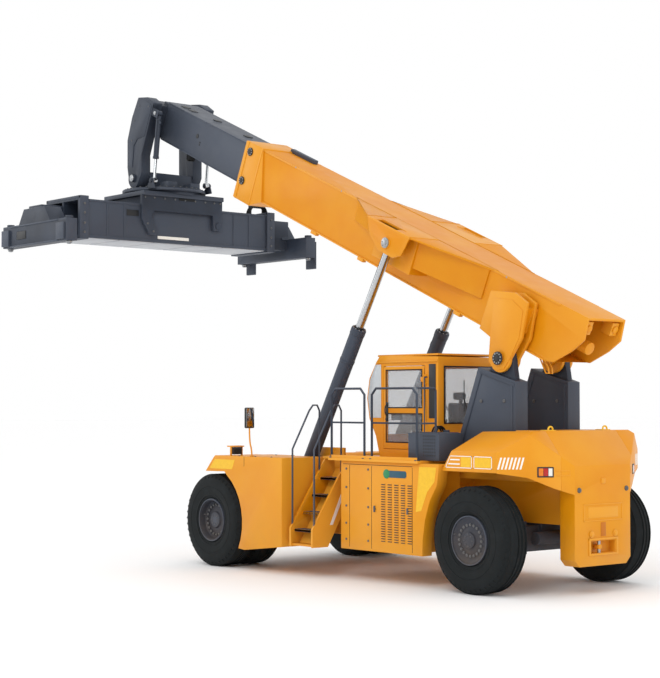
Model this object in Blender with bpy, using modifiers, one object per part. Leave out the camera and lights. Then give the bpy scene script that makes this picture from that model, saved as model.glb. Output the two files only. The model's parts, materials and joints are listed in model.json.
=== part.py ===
"""Reach stacker with a container spreader, drawn for Blender 4.5 in metres, +Z up, +X forward.

Every piece is drawn from the front axle: x is forward of it, y is to the machine's left and z is
above the ground. The root empty then moves the front axle ahead of the origin, which is on the
ground below the middle of the whole machine. What moves is drawn from its own joint instead.
"""
from math import atan2, cos, hypot, pi, radians, sin

import bmesh
import bpy
from mathutils import Matrix

# ---------------------------------------------------------------- clearances
SEAT = 0.0003           # between pieces that rest on or butt against each other
SLIDE = 0.0008          # between sliding pads and what they carry
PIN_FIT = 0.0012        # round a turning pin
CLEAR = 0.012           # between pieces that pass each other

# ---------------------------------------------------------------- overall
FRONT_AXLE_X = 0.75     # the front axle, ahead of the origin
WHEELBASE = 6.0
HALF_WIDTH = 2.10
TURNED_STEPS = 36

# ---------------------------------------------------------------- wheels
TYRE_RADIUS = 0.81
TYRE_WIDTH = 0.50
RIM_RADIUS = 0.372
AXLE_HEIGHT = TYRE_RADIUS
FRONT_OUTER_TYRE_Y = 1.84
FRONT_TWIN_SPACING = 0.57
FRONT_HUB_Y = 0.985
REAR_TYRE_Y = 1.42
KINGPIN_Y = 1.12
SPINDLE_RADIUS = 0.10
KNUCKLE_HALF_HEIGHT = 0.175
REAR_DISC_INSET = 0.02

# ---------------------------------------------------------------- chassis
GIRDER_INNER_Y = 0.50
GIRDER_OUTER_Y = 0.80
GIRDER_BOTTOM_Z = 0.62
GIRDER_TOP_Z = 1.55
FRAME_FRONT_X = 0.62
GIRDER_REAR_X = -WHEELBASE + 1.15
KEEL_HALF_WIDTH = 0.38
KEEL_BOTTOM_Z = 1.02
KEEL_REAR_X = -WHEELBASE - 0.85
TOWER_DECK_BOTTOM_Z = 1.68
TOWER_DECK_Z = 2.05
FRONT_SADDLE_Z = 0.99
ENGINE_BOTTOM_Z = 0.72
DECK_Z = 1.93
CHEEK_TOP_Z = 2.10
CHEEK_REAR_X = -2.10
RAIL_RADIUS = 0.02
RAIL_TOP_Z = 3.10
DECK_THICKNESS = 0.04
DECK_HALF_WIDTH = 1.72
DECK_FRONT_X = -2.15
DECK_REAR_X = -4.95
FENDER_TOP_Z = 1.95
FENDER_INNER_Y = 1.17
FENDER_REAR_X = -2.04
ARCH_RADIUS = 0.94
HOUSING_FRONT_X = -3.05
HOUSING_REAR_X = -4.95
HOUSING_BOTTOM_Z = 0.50
HOUSING_SKIN_Y = 1.45
HOUSING_OUTER_Y = 1.66
STAIR_FRONT_X = -2.20
STAIR_WIDTH = 0.53
STAIR_TREADS = 4
STAIR_FIRST_Y = 1.95
STAIR_FIRST_Z = 0.78
STAIR_RUN = 0.185
STAIR_RISE = 0.28
WING_OUTER_Y = 1.60
WING_FRONT_X = -WHEELBASE + 0.62
WING_CORNER_X = -WHEELBASE - 0.55
WING_BOTTOM_Z = 1.83
WING_EDGE_Z = 2.14        # the wing's outer edge, below its sloping top
WING_CREST_Y = 1.08
SHOULDER_Z = 1.50         # the wing's lowest point, against the tail
HOOD_TOP_Z = 2.45
HOOD_FRONT_X = -WHEELBASE - 0.16
TAIL_X = -WHEELBASE - 1.20
HOOD_CREASE_X = -WHEELBASE - 0.78
WING_PEAK_X = -WHEELBASE + 0.22
TAIL_HALF_WIDTH = 0.63
TAIL_BOTTOM_Z = 0.43
TAIL_BLOCK_DEPTH = 0.30
TAIL_CHAMFER = 0.10

# ---------------------------------------------------------------- boom
BOOM_ANGLE = 23.6
PIVOT_X = -5.757
PIVOT_Z = 3.56
PIVOT_PIN_RADIUS = 0.083
EAR_RADIUS = 0.22
LUG_INNER_Y = 0.545
LUG_OUTER_Y = 0.655
EAR_THICKNESS = 0.06
EAR_SIDE_GAP = 0.01
TOWER_INNER_Y = 0.46
TOWER_OUTER_Y = 0.74
TOWER_FRONT_X = -4.76
TOWER_REAR_X = -6.10
BOOM_HALF_WIDTH = 0.43
BOOM_BOTTOM = 0.215     # above the pivot, square to the boom
BOOM_HEIGHT = 0.93
BOOM_WALL = 0.04
BOOM_REAR = -1.19       # along the boom from the pivot
BOOM_FRONT = 7.98
COLLAR_LENGTH = 0.52
COLLAR_PROUD = 0.04
COLLAR_DROP = 0.17
INNER_HALF_WIDTH = 0.36
INNER_HEIGHT = 0.78
INNER_WALL = 0.03
INNER_REAR = 0.15
HEAD_REAR = 10.95
HEAD_ARM_INNER_Y = 0.53
HEAD_ARM_OUTER_Y = 0.75
TILT_PIN = (11.03, -0.574)
TILT_PIN_RADIUS = 0.075

# ---------------------------------------------------------------- lift cylinders
CYLINDER_Y = 0.973
FOOT_X = -1.10
FOOT_Z = 1.34
EYE = (2.827, 0.882)
EYE_WIDTH = 0.14
EYE_RADIUS = 0.16
BARREL_RADIUS = 0.125
ROD_RADIUS = 0.07
BARREL_LENGTH = 3.22
ROD_STOP = 1.36         # from the foot pin to the rod's inner end at rest
FOOT_BOSS_RADIUS = 0.09
WING_PLATE = 0.03
WING_ROOT_Y = 0.80      # the side of the boom's wing beside the cylinder

# ---------------------------------------------------------------- tilt dampers
DAMPER_Y = 0.64
DAMPER_TOP = (10.83, 0.866)
DAMPER_FOOT = (-0.59, -0.10)   # from the tilt pin, level with the ground
DAMPER_RADIUS = 0.055
DAMPER_ROD_RADIUS = 0.03
DAMPER_BARREL_LENGTH = 0.90
DAMPER_STOP = 0.50

# ---------------------------------------------------------------- spreader, z below the tilt pin
SLEW_TOP_Z = -0.215
SLEW_PLATE = 0.07
SLEW_RADIUS = 0.86
CARRIAGE_PLATE = 0.09
CARRIAGE_HALF_X = 0.74
CARRIAGE_HALF_Y = 0.99
BEAM_TOP_Z = -0.59
BEAM_HEIGHT = 0.76
BEAM_HALF_X = 0.60
BEAM_HALF_Y = 2.40
BEAM_WALL = 0.04
SLIDER_HEIGHT = 0.62
SLIDER_TAIL = 1.90
TWISTLOCK_X = 1.1295
TWISTLOCK_Y = 2.9265
END_BEAM_DEPTH = 0.25
END_BEAM_HALF_X = 1.22
END_BEAM_HEIGHT = 0.43
END_BEAM_BOTTOM_Z = -1.50
TWISTLOCK_DROP = 0.06

# ---------------------------------------------------------------- cab
CAB_HALF_WIDTH = 0.75
CAB_FLOOR_Z = DECK_Z + DECK_THICKNESS + SEAT
CAB_ROOF_Z = 3.66
CAB_REAR_X = -4.40
CAB_WALL = 0.06
GLASS = 0.012
DOOR_FRONT_X = -3.08
DOOR_REAR_X = -4.08
DOOR_BASE_Z = 2.0       # the door joint's height
DOOR_BOTTOM_Z = 2.10
DOOR_TOP_Z = 3.48
DOOR_GAP = 0.008
HINGE_Y = CAB_HALF_WIDTH + 0.018
HINGE_RADIUS = 0.014
HINGE_HEIGHT = 0.09
HINGE_HEIGHTS = (0.30, 1.25)    # above the door's joint


# ================================================================ making shapes
for old in list(bpy.data.objects):
    bpy.data.objects.remove(old)
parts = bpy.data.collections.new("reach_stacker")
cutters = bpy.data.collections.new("cutters")
bpy.context.scene.collection.children.link(parts)
bpy.context.scene.collection.children.link(cutters)


def linear(channel):
    return channel / 12.92 if channel <= 0.04045 else ((channel + 0.055) / 1.055) ** 2.4


def material(name, colour, roughness, metallic):
    made = bpy.data.materials.new(name)
    made.use_nodes = True
    shader = made.node_tree.nodes["Principled BSDF"]
    channels = [int(colour[i:i + 2], 16) / 255 for i in (0, 2, 4)]
    shader.inputs["Base Color"].default_value = [linear(c) for c in channels] + [1]
    shader.inputs["Roughness"].default_value = roughness
    shader.inputs["Metallic"].default_value = metallic
    return made


ORANGE = material("orange_paint", "F0901E", 0.45, 0.0)
SLATE = material("slate_paint", "474C57", 0.5, 0.0)
RUBBER = material("tyre_rubber", "1C1E20", 0.85, 0.0)
CHROME = material("chromed_steel", "C8CACC", 0.2, 1.0)
GLAZING = material("tinted_glass", "2A3438", 0.05, 0.0)
SEATING = material("seat_fabric", "26282B", 0.9, 0.0)
LAMPS = material("lamp_lens", "E8E4DC", 0.2, 0.0)
CAST_IRON = material("cast_iron", "3A3C3E", 0.6, 0.4)


def empty(name, location, angle=0.0, parent=None):
    """A joint's frame: turned about Y by angle, so that +X points that far above the horizontal."""
    frame = bpy.data.objects.new(name, None)
    frame.location = location
    frame.rotation_euler = (0, -radians(angle), 0)
    frame.parent = parent
    bpy.context.scene.collection.objects.link(frame)
    return frame


def from_bmesh(bm):
    mesh = bpy.data.meshes.new("shape")
    bm.to_mesh(mesh)
    bm.free()
    return mesh


def block(x0, x1, y0, y1, z0, z1):
    bm = bmesh.new()
    size = Matrix.Diagonal((abs(x1 - x0), abs(y1 - y0), abs(z1 - z0), 1))
    middle = Matrix.Translation(((x0 + x1) / 2, (y0 + y1) / 2, (z0 + z1) / 2))
    bmesh.ops.create_cube(bm, size=1, matrix=middle @ size)
    return from_bmesh(bm)


def drum(centre, radius, length, axis="y", end_radius=None, steps=24):
    """A cylinder or cone whose middle is at centre."""
    bm = bmesh.new()
    turn = {"x": Matrix.Rotation(pi / 2, 4, "Y"), "y": Matrix.Rotation(-pi / 2, 4, "X"),
            "z": Matrix.Identity(4)}[axis]
    bmesh.ops.create_cone(bm, cap_ends=True, segments=steps, radius1=radius, depth=length,
                          radius2=radius if end_radius is None else end_radius,
                          matrix=Matrix.Translation(centre) @ turn)
    return from_bmesh(bm)


def curve_mesh(curve):
    """The welded mesh of a curve."""
    holder = bpy.data.objects.new("outline", curve)
    cutters.objects.link(holder)
    evaluated = holder.evaluated_get(bpy.context.evaluated_depsgraph_get())
    mesh = bpy.data.meshes.new_from_object(evaluated)
    bpy.data.objects.remove(holder)
    bm = bmesh.new()
    bm.from_mesh(mesh)
    bmesh.ops.remove_doubles(bm, verts=bm.verts, dist=0.0001)
    bm.to_mesh(mesh)
    bm.free()
    return mesh


def outline_mesh(points, low, high, matrix):
    """A flat outline drawn in XY, as thick as low to high along Z, then put in place."""
    curve = bpy.data.curves.new("outline", "CURVE")
    curve.dimensions = "2D"
    curve.fill_mode = "BOTH"
    curve.extrude = abs(high - low) / 2
    spline = curve.splines.new("POLY")
    spline.points.add(len(points) - 1)
    for target, (a, b) in zip(spline.points, points):
        target.co = (a, b, 0, 1)
    spline.use_cyclic_u = True
    mesh = curve_mesh(curve)
    mesh.transform(matrix @ Matrix.Translation((0, 0, (low + high) / 2)))
    return mesh


def side_plate(points, y0, y1):
    """An outline of (x, z) points, from y0 to y1."""
    return outline_mesh(points, -max(y0, y1), -min(y0, y1), Matrix.Rotation(pi / 2, 4, "X"))


def plan_plate(points, z0, z1):
    """An outline of (x, y) points, from z0 to z1."""
    return outline_mesh(points, z0, z1, Matrix.Identity(4))


def end_plate(points, x0, x1):
    """An outline of (y, z) points, from x0 to x1."""
    upright = Matrix(((0, 0, 1, 0), (1, 0, 0, 0), (0, 1, 0, 0), (0, 0, 0, 1)))
    return outline_mesh(points, x0, x1, upright)


def arc(centre, radius, start, end, steps=8):
    """Points on an arc, from start to end in degrees, anticlockwise when end is larger."""
    turns = [radians(start + (end - start) * i / steps) for i in range(steps + 1)]
    return [(centre[0] + radius * cos(t), centre[1] + radius * sin(t)) for t in turns]


def tube(points, radius):
    curve = bpy.data.curves.new("tube", "CURVE")
    curve.dimensions = "3D"
    curve.bevel_depth = radius
    curve.bevel_resolution = 1
    curve.use_fill_caps = True
    spline = curve.splines.new("POLY")
    spline.points.add(len(points) - 1)
    for target, point in zip(spline.points, points):
        target.co = (*point, 1)
    return curve_mesh(curve)


def turned(profile, side=1):
    """A ring or a solid turned about Y. The profile is (radius, y) points, closed."""
    bm = bmesh.new()
    ends = [bm.verts.new((radius, 0, y)) for radius, y in profile]
    on_axis = profile[0][0] == 0 and profile[-1][0] == 0
    for i in range(len(ends) - 1 if on_axis else len(ends)):
        bm.edges.new((ends[i], ends[(i + 1) % len(ends)]))
    mesh = from_bmesh(bm)
    holder = bpy.data.objects.new("profile", mesh)
    cutters.objects.link(holder)
    screw = holder.modifiers.new("turn", "SCREW")
    screw.steps = screw.render_steps = TURNED_STEPS
    screw.use_merge_vertices = True
    screw.merge_threshold = 0.0001
    screw.use_normal_calculate = True
    solid = bpy.data.meshes.new_from_object(
        holder.evaluated_get(bpy.context.evaluated_depsgraph_get()))
    bpy.data.objects.remove(holder)
    bm = bmesh.new()
    bm.from_mesh(solid)
    bmesh.ops.recalc_face_normals(bm, faces=bm.faces)
    bm.to_mesh(solid)
    bm.free()
    solid.transform(Matrix.Rotation(-side * pi / 2, 4, "X"))
    return solid


def operand(mesh, frame):
    tool = bpy.data.objects.new("tool", mesh)
    tool.parent = frame
    tool.hide_render = True
    tool.display_type = "WIRE"
    cutters.objects.link(tool)
    return tool


def piece(name, frame, finish, add, cut=(), sharp=40):
    """One named piece: the shapes in add as one solid, less the shapes in cut."""
    made = bpy.data.objects.new(name, add[0])
    made.data.name = name
    made.parent = frame
    parts.objects.link(made)
    for operation, meshes in (("UNION", add[1:]), ("DIFFERENCE", cut)):
        for mesh in meshes:
            step = made.modifiers.new(operation.lower(), "BOOLEAN")
            step.operation = operation
            step.object = operand(mesh, frame)
    made.data.materials.clear()
    made.data.materials.append(finish)
    made.data.shade_smooth()
    made.data.set_sharp_from_angle(angle=radians(sharp))
    return made


def boom_point(along, above):
    """A point of the boom at its resting angle, in the machine's x and z."""
    turn = radians(BOOM_ANGLE)
    return (PIVOT_X + along * cos(turn) - above * sin(turn),
            PIVOT_Z + along * sin(turn) + above * cos(turn))


SIDES = (("left", 1), ("right", -1))

machine = empty("machine", (FRONT_AXLE_X, 0, 0))

# ================================================================ chassis
foot_plate_y = CYLINDER_Y + BARREL_RADIUS + CLEAR
foot_boss_y = CYLINDER_Y - EYE_WIDTH / 2 - SLIDE
foot_eye_y = CYLINDER_Y + EYE_WIDTH / 2 + SLIDE + 0.01
frame_shapes = []
frame_cheek = [(CHEEK_REAR_X, GIRDER_TOP_Z - 0.1), (CHEEK_REAR_X, CHEEK_TOP_Z),
               (FOOT_X - 0.42, CHEEK_TOP_Z), (FOOT_X - 0.20, CHEEK_TOP_Z - 0.22),
               (FOOT_X + 0.20, GIRDER_TOP_Z - 0.1)]
for _, side in SIDES:
    frame_shapes += [
        side_plate(frame_cheek, side * (GIRDER_OUTER_Y - 0.06), side * (GIRDER_OUTER_Y - 0.003)),
        block(GIRDER_REAR_X, FRAME_FRONT_X, side * GIRDER_INNER_Y, side * GIRDER_OUTER_Y,
              GIRDER_BOTTOM_Z, GIRDER_TOP_Z),
        block(FOOT_X - 0.34, FOOT_X + 0.21, side * (GIRDER_OUTER_Y - 0.05),
              side * (foot_plate_y + 0.02), FOOT_Z - 0.34, FOOT_Z - EYE_RADIUS - CLEAR),
        side_plate([(FOOT_X - 0.35, FOOT_Z - 0.36), (FOOT_X + 0.22, FOOT_Z - 0.36)]
                   + arc((FOOT_X, FOOT_Z), 0.17, 0, 180), side * foot_plate_y,
                   side * (foot_plate_y + 0.04)),
        drum((FOOT_X, side * (foot_plate_y + 0.035), FOOT_Z), 0.085, 0.04),
        drum((FOOT_X, side * (GIRDER_OUTER_Y - 0.02 + foot_boss_y) / 2, FOOT_Z), FOOT_BOSS_RADIUS,
             foot_boss_y - GIRDER_OUTER_Y + 0.02),
        drum((FOOT_X, side * (foot_plate_y + foot_eye_y) / 2, FOOT_Z), FOOT_BOSS_RADIUS - 0.002,
             foot_plate_y - foot_eye_y + 0.02)]
for x0, x1, low, high in ((FRAME_FRONT_X - 0.12, FRAME_FRONT_X - 0.02, 0.72, 1.5),
                          (FOOT_X - 0.30, FOOT_X + 0.20, 0.75, 1.30),
                          (-2.80, -2.62, 0.70, 1.40), (-3.30, -3.10, 0.64, ENGINE_BOTTOM_Z - SEAT),
                          (-4.35, -4.15, 0.64, ENGINE_BOTTOM_Z - SEAT), (-4.80, -4.56, 0.70, 1.60)):
    frame_shapes.append(block(x0, x1, -GIRDER_INNER_Y - 0.1, GIRDER_INNER_Y + 0.1, low, high))
frame_shapes += [
    block(FOOT_X + 0.25, FRAME_FRONT_X - 0.05, -GIRDER_OUTER_Y + 0.02, GIRDER_OUTER_Y - 0.02,
          GIRDER_TOP_Z - 0.05, GIRDER_TOP_Z + 0.03),
    block(KEEL_REAR_X, GIRDER_REAR_X + 0.15, -KEEL_HALF_WIDTH, KEEL_HALF_WIDTH,
          KEEL_BOTTOM_Z, TOWER_DECK_BOTTOM_Z + 0.015),
    block(WING_CORNER_X, TOWER_FRONT_X + 0.06, -GIRDER_OUTER_Y + 0.01, GIRDER_OUTER_Y - 0.01,
          TOWER_DECK_BOTTOM_Z, TOWER_DECK_Z),
    block(GIRDER_REAR_X + 0.01, GIRDER_REAR_X + 0.20, -GIRDER_OUTER_Y + 0.02,
          GIRDER_OUTER_Y - 0.02, GIRDER_TOP_Z - 0.2, TOWER_DECK_BOTTOM_Z + 0.1)]
piece("main_frame", machine, ORANGE, frame_shapes,
      cut=[block(-0.34, 0.34, -HALF_WIDTH, HALF_WIDTH, 0.3, FRONT_SADDLE_Z)])

piece("front_axle", machine, SLATE, [
    drum((0, 0, AXLE_HEIGHT), 0.17, 2 * (FRONT_HUB_Y - SEAT)),
    drum((0, 0, AXLE_HEIGHT), 0.31, 0.36, end_radius=0.24),
    block(-0.27, 0.27, -0.78, -0.52, AXLE_HEIGHT - 0.1, FRONT_SADDLE_Z - SEAT),
    block(-0.27, 0.27, 0.52, 0.78, AXLE_HEIGHT - 0.1, FRONT_SADDLE_Z - SEAT)])

rear_shapes = [
    block(-WHEELBASE - 0.21, -WHEELBASE + 0.21, -0.86, 0.86, 0.60, 0.985),
    block(-WHEELBASE - 0.26, -WHEELBASE + 0.26, -KEEL_HALF_WIDTH + 0.03, KEEL_HALF_WIDTH - 0.03,
          0.80, KEEL_BOTTOM_Z - SEAT),
    drum((-WHEELBASE - 0.30, 0, 0.80), 0.10, 1.05)]
for _, side in SIDES:
    for low in (AXLE_HEIGHT - KNUCKLE_HALF_HEIGHT - 0.075, AXLE_HEIGHT + KNUCKLE_HALF_HEIGHT):
        rear_shapes.append(plan_plate(
            [(-WHEELBASE - 0.2, side * 0.60), (-WHEELBASE + 0.2, side * 0.60)]
            + arc((-WHEELBASE, side * KINGPIN_Y), 0.12, 0, side * 180), low, low + 0.075))
piece("rear_axle", machine, SLATE, rear_shapes)

piece("engine_block", machine, CAST_IRON,
      [block(-4.50, -2.90, -0.45, 0.45, ENGINE_BOTTOM_Z, 1.88)])

for name, side in SIDES:
    arch = arc((0, AXLE_HEIGHT), ARCH_RADIUS, 208, 122, 8)
    outline = ([(-1.0, 0.353)] + arch
               + [(-0.42, 1.675), (0.14, 1.667), (-0.085, 1.90), (-0.14, FENDER_TOP_Z),
                  (FENDER_REAR_X, FENDER_TOP_Z), (FENDER_REAR_X, 0.47)])
    piece("front_fender_" + name, machine, ORANGE, [
        side_plate(outline, side * FENDER_INNER_Y, side * HALF_WIDTH),
        block(-0.80, -0.10, side * (GIRDER_OUTER_Y + 0.02), side * (FENDER_INNER_Y + 0.05),
              1.69, FENDER_TOP_Z - 0.01),
        block(FENDER_REAR_X + 0.05, FENDER_REAR_X + 0.45, side * (GIRDER_OUTER_Y + SEAT),
              side * (FENDER_INNER_Y + 0.05), 0.80, 1.20)])

    skin = [(HOUSING_FRONT_X, HOUSING_BOTTOM_Z), (-4.99, HOUSING_BOTTOM_Z), (-5.0, 0.75),
            (-5.05, 1.06), (-5.16, 1.36), (-5.32, 1.61), (-5.36, DECK_Z - SEAT),
            (HOUSING_FRONT_X, DECK_Z - SEAT)]
    piece("side_housing_" + name, machine, ORANGE, [
        side_plate(skin, side * HOUSING_SKIN_Y, side * HOUSING_OUTER_Y),
        block(HOUSING_FRONT_X - 0.05, HOUSING_REAR_X, side * (GIRDER_OUTER_Y + SEAT),
              side * (HOUSING_SKIN_Y + 0.05), HOUSING_BOTTOM_Z + 0.05, DECK_Z - SEAT - 0.01)])

    cheek_rear = STAIR_FRONT_X - STAIR_WIDTH
    stair = []
    cheek = [(side * 2.03, 0.50), (side * 2.03, 0.80), (side * 1.28, DECK_Z - SEAT),
             (side * 1.08, DECK_Z - SEAT), (side * 1.08, 1.55), (side * 1.70, 0.50)]
    for x in (STAIR_FRONT_X, cheek_rear - 0.04):
        stair.append(end_plate(cheek, x, x + 0.04))
    for step in range(STAIR_TREADS):
        middle = side * (STAIR_FIRST_Y - 0.09 - step * STAIR_RUN)
        height = STAIR_FIRST_Z + step * STAIR_RISE
        stair.append(block(cheek_rear - 0.02, STAIR_FRONT_X + 0.02, middle - 0.10, middle + 0.10,
                           height - 0.035, height))
    stair += [block(cheek_rear - 0.02, STAIR_FRONT_X + 0.02, side * 1.80, side * 2.0, 0.51, 0.545),
              block(cheek_rear - 0.03, cheek_rear + 0.10, side * (GIRDER_OUTER_Y + SEAT),
                    side * 1.60, 0.93, 1.01),
              block(STAIR_FRONT_X - 0.06, STAIR_FRONT_X + 0.03, side * (GIRDER_OUTER_Y + SEAT),
                    side * 1.60, 0.93, 1.01)]
    for x in (STAIR_FRONT_X + 0.02, cheek_rear - 0.02):
        stair.append(tube([(x, side * 1.98, 0.76), (x, side * 1.98, 2.10), (x, side * 1.62, 2.74),
                           (x, side * 1.54, 2.83), (x, side * 1.45, 2.83), (x, side * 1.40, 2.74),
                           (x, side * 1.40, 1.72)], 0.016))
    piece("stairs_" + name, machine, ORANGE, stair)

    tower = [(TOWER_FRONT_X, TOWER_DECK_Z + SEAT), (-5.30, 3.43), (TOWER_REAR_X, 3.20),
             (TOWER_REAR_X, TOWER_DECK_Z + SEAT)]
    lug = [(-5.42, 3.25)] + arc((PIVOT_X, PIVOT_Z), 0.20, 10, 170) + [(-6.04, 3.10)]
    piece("boom_tower_" + name, machine, SLATE, [
        side_plate(tower, side * TOWER_INNER_Y, side * TOWER_OUTER_Y),
        side_plate(lug, side * LUG_INNER_Y, side * LUG_OUTER_Y)],
        cut=[drum((PIVOT_X, side * 0.6, PIVOT_Z), PIVOT_PIN_RADIUS + PIN_FIT, 0.5)])

    wing = [(WING_FRONT_X, WING_BOTTOM_Z + 0.03), (WING_PEAK_X, HOOD_TOP_Z - 0.02), (HOOD_CREASE_X, HOOD_TOP_Z),
            (TAIL_X, 1.93), (TAIL_X, SHOULDER_Z), (TAIL_X + 0.18, SHOULDER_Z + 0.10),
            (TAIL_X + 0.40, WING_BOTTOM_Z - 0.07), (WING_CORNER_X + 0.03, WING_BOTTOM_Z),
            (WING_FRONT_X, WING_BOTTOM_Z)]
    fall = (HOOD_TOP_Z + 0.012 - WING_EDGE_Z) / (WING_OUTER_Y - WING_CREST_Y)
    slope = [(side * WING_CREST_Y, HOOD_TOP_Z + 0.012), (side * WING_CREST_Y, HOOD_TOP_Z + 0.5),
             (side * (WING_OUTER_Y + 0.5), HOOD_TOP_Z + 0.5),
             (side * (WING_OUTER_Y + 0.5), WING_EDGE_Z - 0.5 * fall)]
    corner = [(WING_CORNER_X, side * WING_OUTER_Y), (TAIL_X, side * TAIL_HALF_WIDTH),
              (TAIL_X - 0.5, side * TAIL_HALF_WIDTH), (TAIL_X - 0.5, side * (WING_OUTER_Y + 0.5)),
              (WING_CORNER_X, side * (WING_OUTER_Y + 0.5))]
    piece("rear_fender_" + name, machine, ORANGE,
          [side_plate(wing, side * (GIRDER_OUTER_Y + SEAT), side * WING_OUTER_Y)],
          cut=[plan_plate(corner, 1.0, 3.0), end_plate(slope, TAIL_X - 0.5, WING_FRONT_X + 0.5)])

hood = [(HOOD_FRONT_X, TOWER_DECK_Z + SEAT), (HOOD_FRONT_X, HOOD_TOP_Z), (HOOD_CREASE_X, HOOD_TOP_Z),
        (TAIL_X, 1.93), (TAIL_X, SHOULDER_Z), (TAIL_X + 0.18, SHOULDER_Z + 0.10), (TAIL_X + 0.32, 1.70),
        (WING_CORNER_X - 0.01, 1.70),
        (WING_CORNER_X - 0.01, TOWER_DECK_Z + SEAT)]
corners = []
for _, side in SIDES:
    corners.append(plan_plate([(WING_CORNER_X, side * WING_OUTER_Y),
                               (TAIL_X, side * (TAIL_HALF_WIDTH + 0.003)),
                               (TAIL_X - 0.5, side * (TAIL_HALF_WIDTH + 0.003)),
                               (TAIL_X - 0.5, side * 2), (WING_CORNER_X, side * 2)], 1.4, 3.0))
tail = [(-TAIL_HALF_WIDTH, 1.80), (-TAIL_HALF_WIDTH, TAIL_BOTTOM_Z + TAIL_CHAMFER),
        (TAIL_CHAMFER - TAIL_HALF_WIDTH, TAIL_BOTTOM_Z), (TAIL_HALF_WIDTH - TAIL_CHAMFER, TAIL_BOTTOM_Z),
        (TAIL_HALF_WIDTH, TAIL_BOTTOM_Z + TAIL_CHAMFER), (TAIL_HALF_WIDTH, 1.80)]
piece("counterweight", machine, ORANGE, [
    side_plate(hood, -GIRDER_OUTER_Y, GIRDER_OUTER_Y),
    end_plate(tail, TAIL_X, TAIL_X + TAIL_BLOCK_DEPTH),
    block(TAIL_X + 0.02, KEEL_REAR_X - SEAT, -KEEL_HALF_WIDTH, KEEL_HALF_WIDTH, 1.0, 1.75)],
    cut=corners + [
        block(TAIL_X - 0.1, TAIL_X + 0.12, -0.27, 0.27, 0.62, 0.80)])

deck = [(DECK_REAR_X, -DECK_HALF_WIDTH), (STAIR_FRONT_X - STAIR_WIDTH - 0.06, -DECK_HALF_WIDTH),
        (STAIR_FRONT_X - STAIR_WIDTH - 0.06, -1.30), (DECK_FRONT_X, -1.30),
        (DECK_FRONT_X, -1.10), (-2.48, -1.10), (-2.48, 1.10), (DECK_FRONT_X, 1.10),
        (DECK_FRONT_X, 1.30), (STAIR_FRONT_X - STAIR_WIDTH - 0.06, 1.30),
        (STAIR_FRONT_X - STAIR_WIDTH - 0.06, DECK_HALF_WIDTH), (DECK_REAR_X, DECK_HALF_WIDTH)]
rails = []
rail_bend = 0.10
for _, side in SIDES:
    y = side * (DECK_HALF_WIDTH - 0.04)
    foot = DECK_Z + 0.02
    for front, rear in ((-2.84, -3.66), (-3.84, -4.90)):
        rails += [
            tube([(front, y, foot), (front, y, RAIL_TOP_Z - rail_bend), (front - rail_bend, y, RAIL_TOP_Z),
                  (rear + rail_bend, y, RAIL_TOP_Z), (rear, y, RAIL_TOP_Z - rail_bend), (rear, y, foot)],
                 RAIL_RADIUS),
            tube([(front + 0.005, y, 2.55), (rear - 0.005, y, 2.55)], RAIL_RADIUS - 0.003)]
piece("deck", machine, ORANGE, [plan_plate(deck, DECK_Z, DECK_Z + DECK_THICKNESS)] + rails,
      cut=[block(-5.0, TOWER_FRONT_X + 0.12, -0.80, 0.80, 1.9, 2.0)])

piece("hydraulic_box", machine, SLATE, [
    block(-5.20, -4.50, 0.98, 1.50, DECK_Z + DECK_THICKNESS + SEAT, 2.40)])

for name, side in SIDES:
    piece("work_lamp_" + name, machine, LAMPS, [
        block(-0.50, -0.38, side * 1.75, side * 1.95, FENDER_TOP_Z + SEAT, 2.12)])
    piece("mirror_" + name, machine, SLATE, [
        tube([(-1.06, side * 1.98, FENDER_TOP_Z + SEAT), (-1.06, side * 1.98, 2.06),
              (-0.99, side * 1.98, 2.20), (-0.99, side * 1.98, 2.50)], 0.016),
        block(-1.02, -0.96, side * 1.88, side * 2.08, 2.43, 2.79)])

# ================================================================ cab
front_glass = [(-2.88, 2.32), (-2.72, 2.60), (-2.66, 2.95), (-2.72, 3.28), (-2.90, 3.56)]
cab_outline = ([(CAB_REAR_X, CAB_FLOOR_Z), (-2.98, CAB_FLOOR_Z)] + front_glass
               + [(-2.99, CAB_ROOF_Z), (CAB_REAR_X, CAB_ROOF_Z - 0.04)])
inside = ([(CAB_REAR_X + CAB_WALL, CAB_FLOOR_Z + CAB_WALL), (-3.02, CAB_FLOOR_Z + CAB_WALL)]
          + [(x - CAB_WALL, z) for x, z in front_glass]
          + [(-3.05, CAB_ROOF_Z - CAB_WALL - 0.04), (CAB_REAR_X + CAB_WALL, CAB_ROOF_Z - CAB_WALL - 0.06)])
inner_y = CAB_HALF_WIDTH - CAB_WALL
windscreen_y = CAB_HALF_WIDTH - 0.10
hinges = []
for height in HINGE_HEIGHTS:
    for end in (-1, 1):
        z = DOOR_BASE_Z + height + end * (HINGE_HEIGHT / 2 + SLIDE + 0.02)
        hinges += [drum((DOOR_REAR_X, HINGE_Y, z), HINGE_RADIUS, 0.04, axis="z", steps=12),
                   block(DOOR_REAR_X - 0.05, DOOR_REAR_X - 0.001, CAB_HALF_WIDTH - 0.01, HINGE_Y + 0.004,
                         z - 0.016, z + 0.016)]
piece("cab_shell", machine, ORANGE,
      [side_plate(cab_outline, -CAB_HALF_WIDTH, CAB_HALF_WIDTH)] + hinges,
      cut=[side_plate(inside, -inner_y, inner_y),
           block(-3.10, -2.4, -windscreen_y, windscreen_y, 2.34, 3.54),
           block(CAB_REAR_X - 0.1, CAB_REAR_X + 0.2, -0.60, 0.60, 2.55, 3.45),
           block(DOOR_REAR_X, DOOR_FRONT_X, 0.5, 1.0, DOOR_BOTTOM_Z, DOOR_TOP_Z),
           block(DOOR_REAR_X, -3.0, -1.0, -0.5, 2.45, 3.45)])
screen = [(x - 0.012, z) for x, z in front_glass]
screen[0] = (-2.895, 2.3412)
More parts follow.
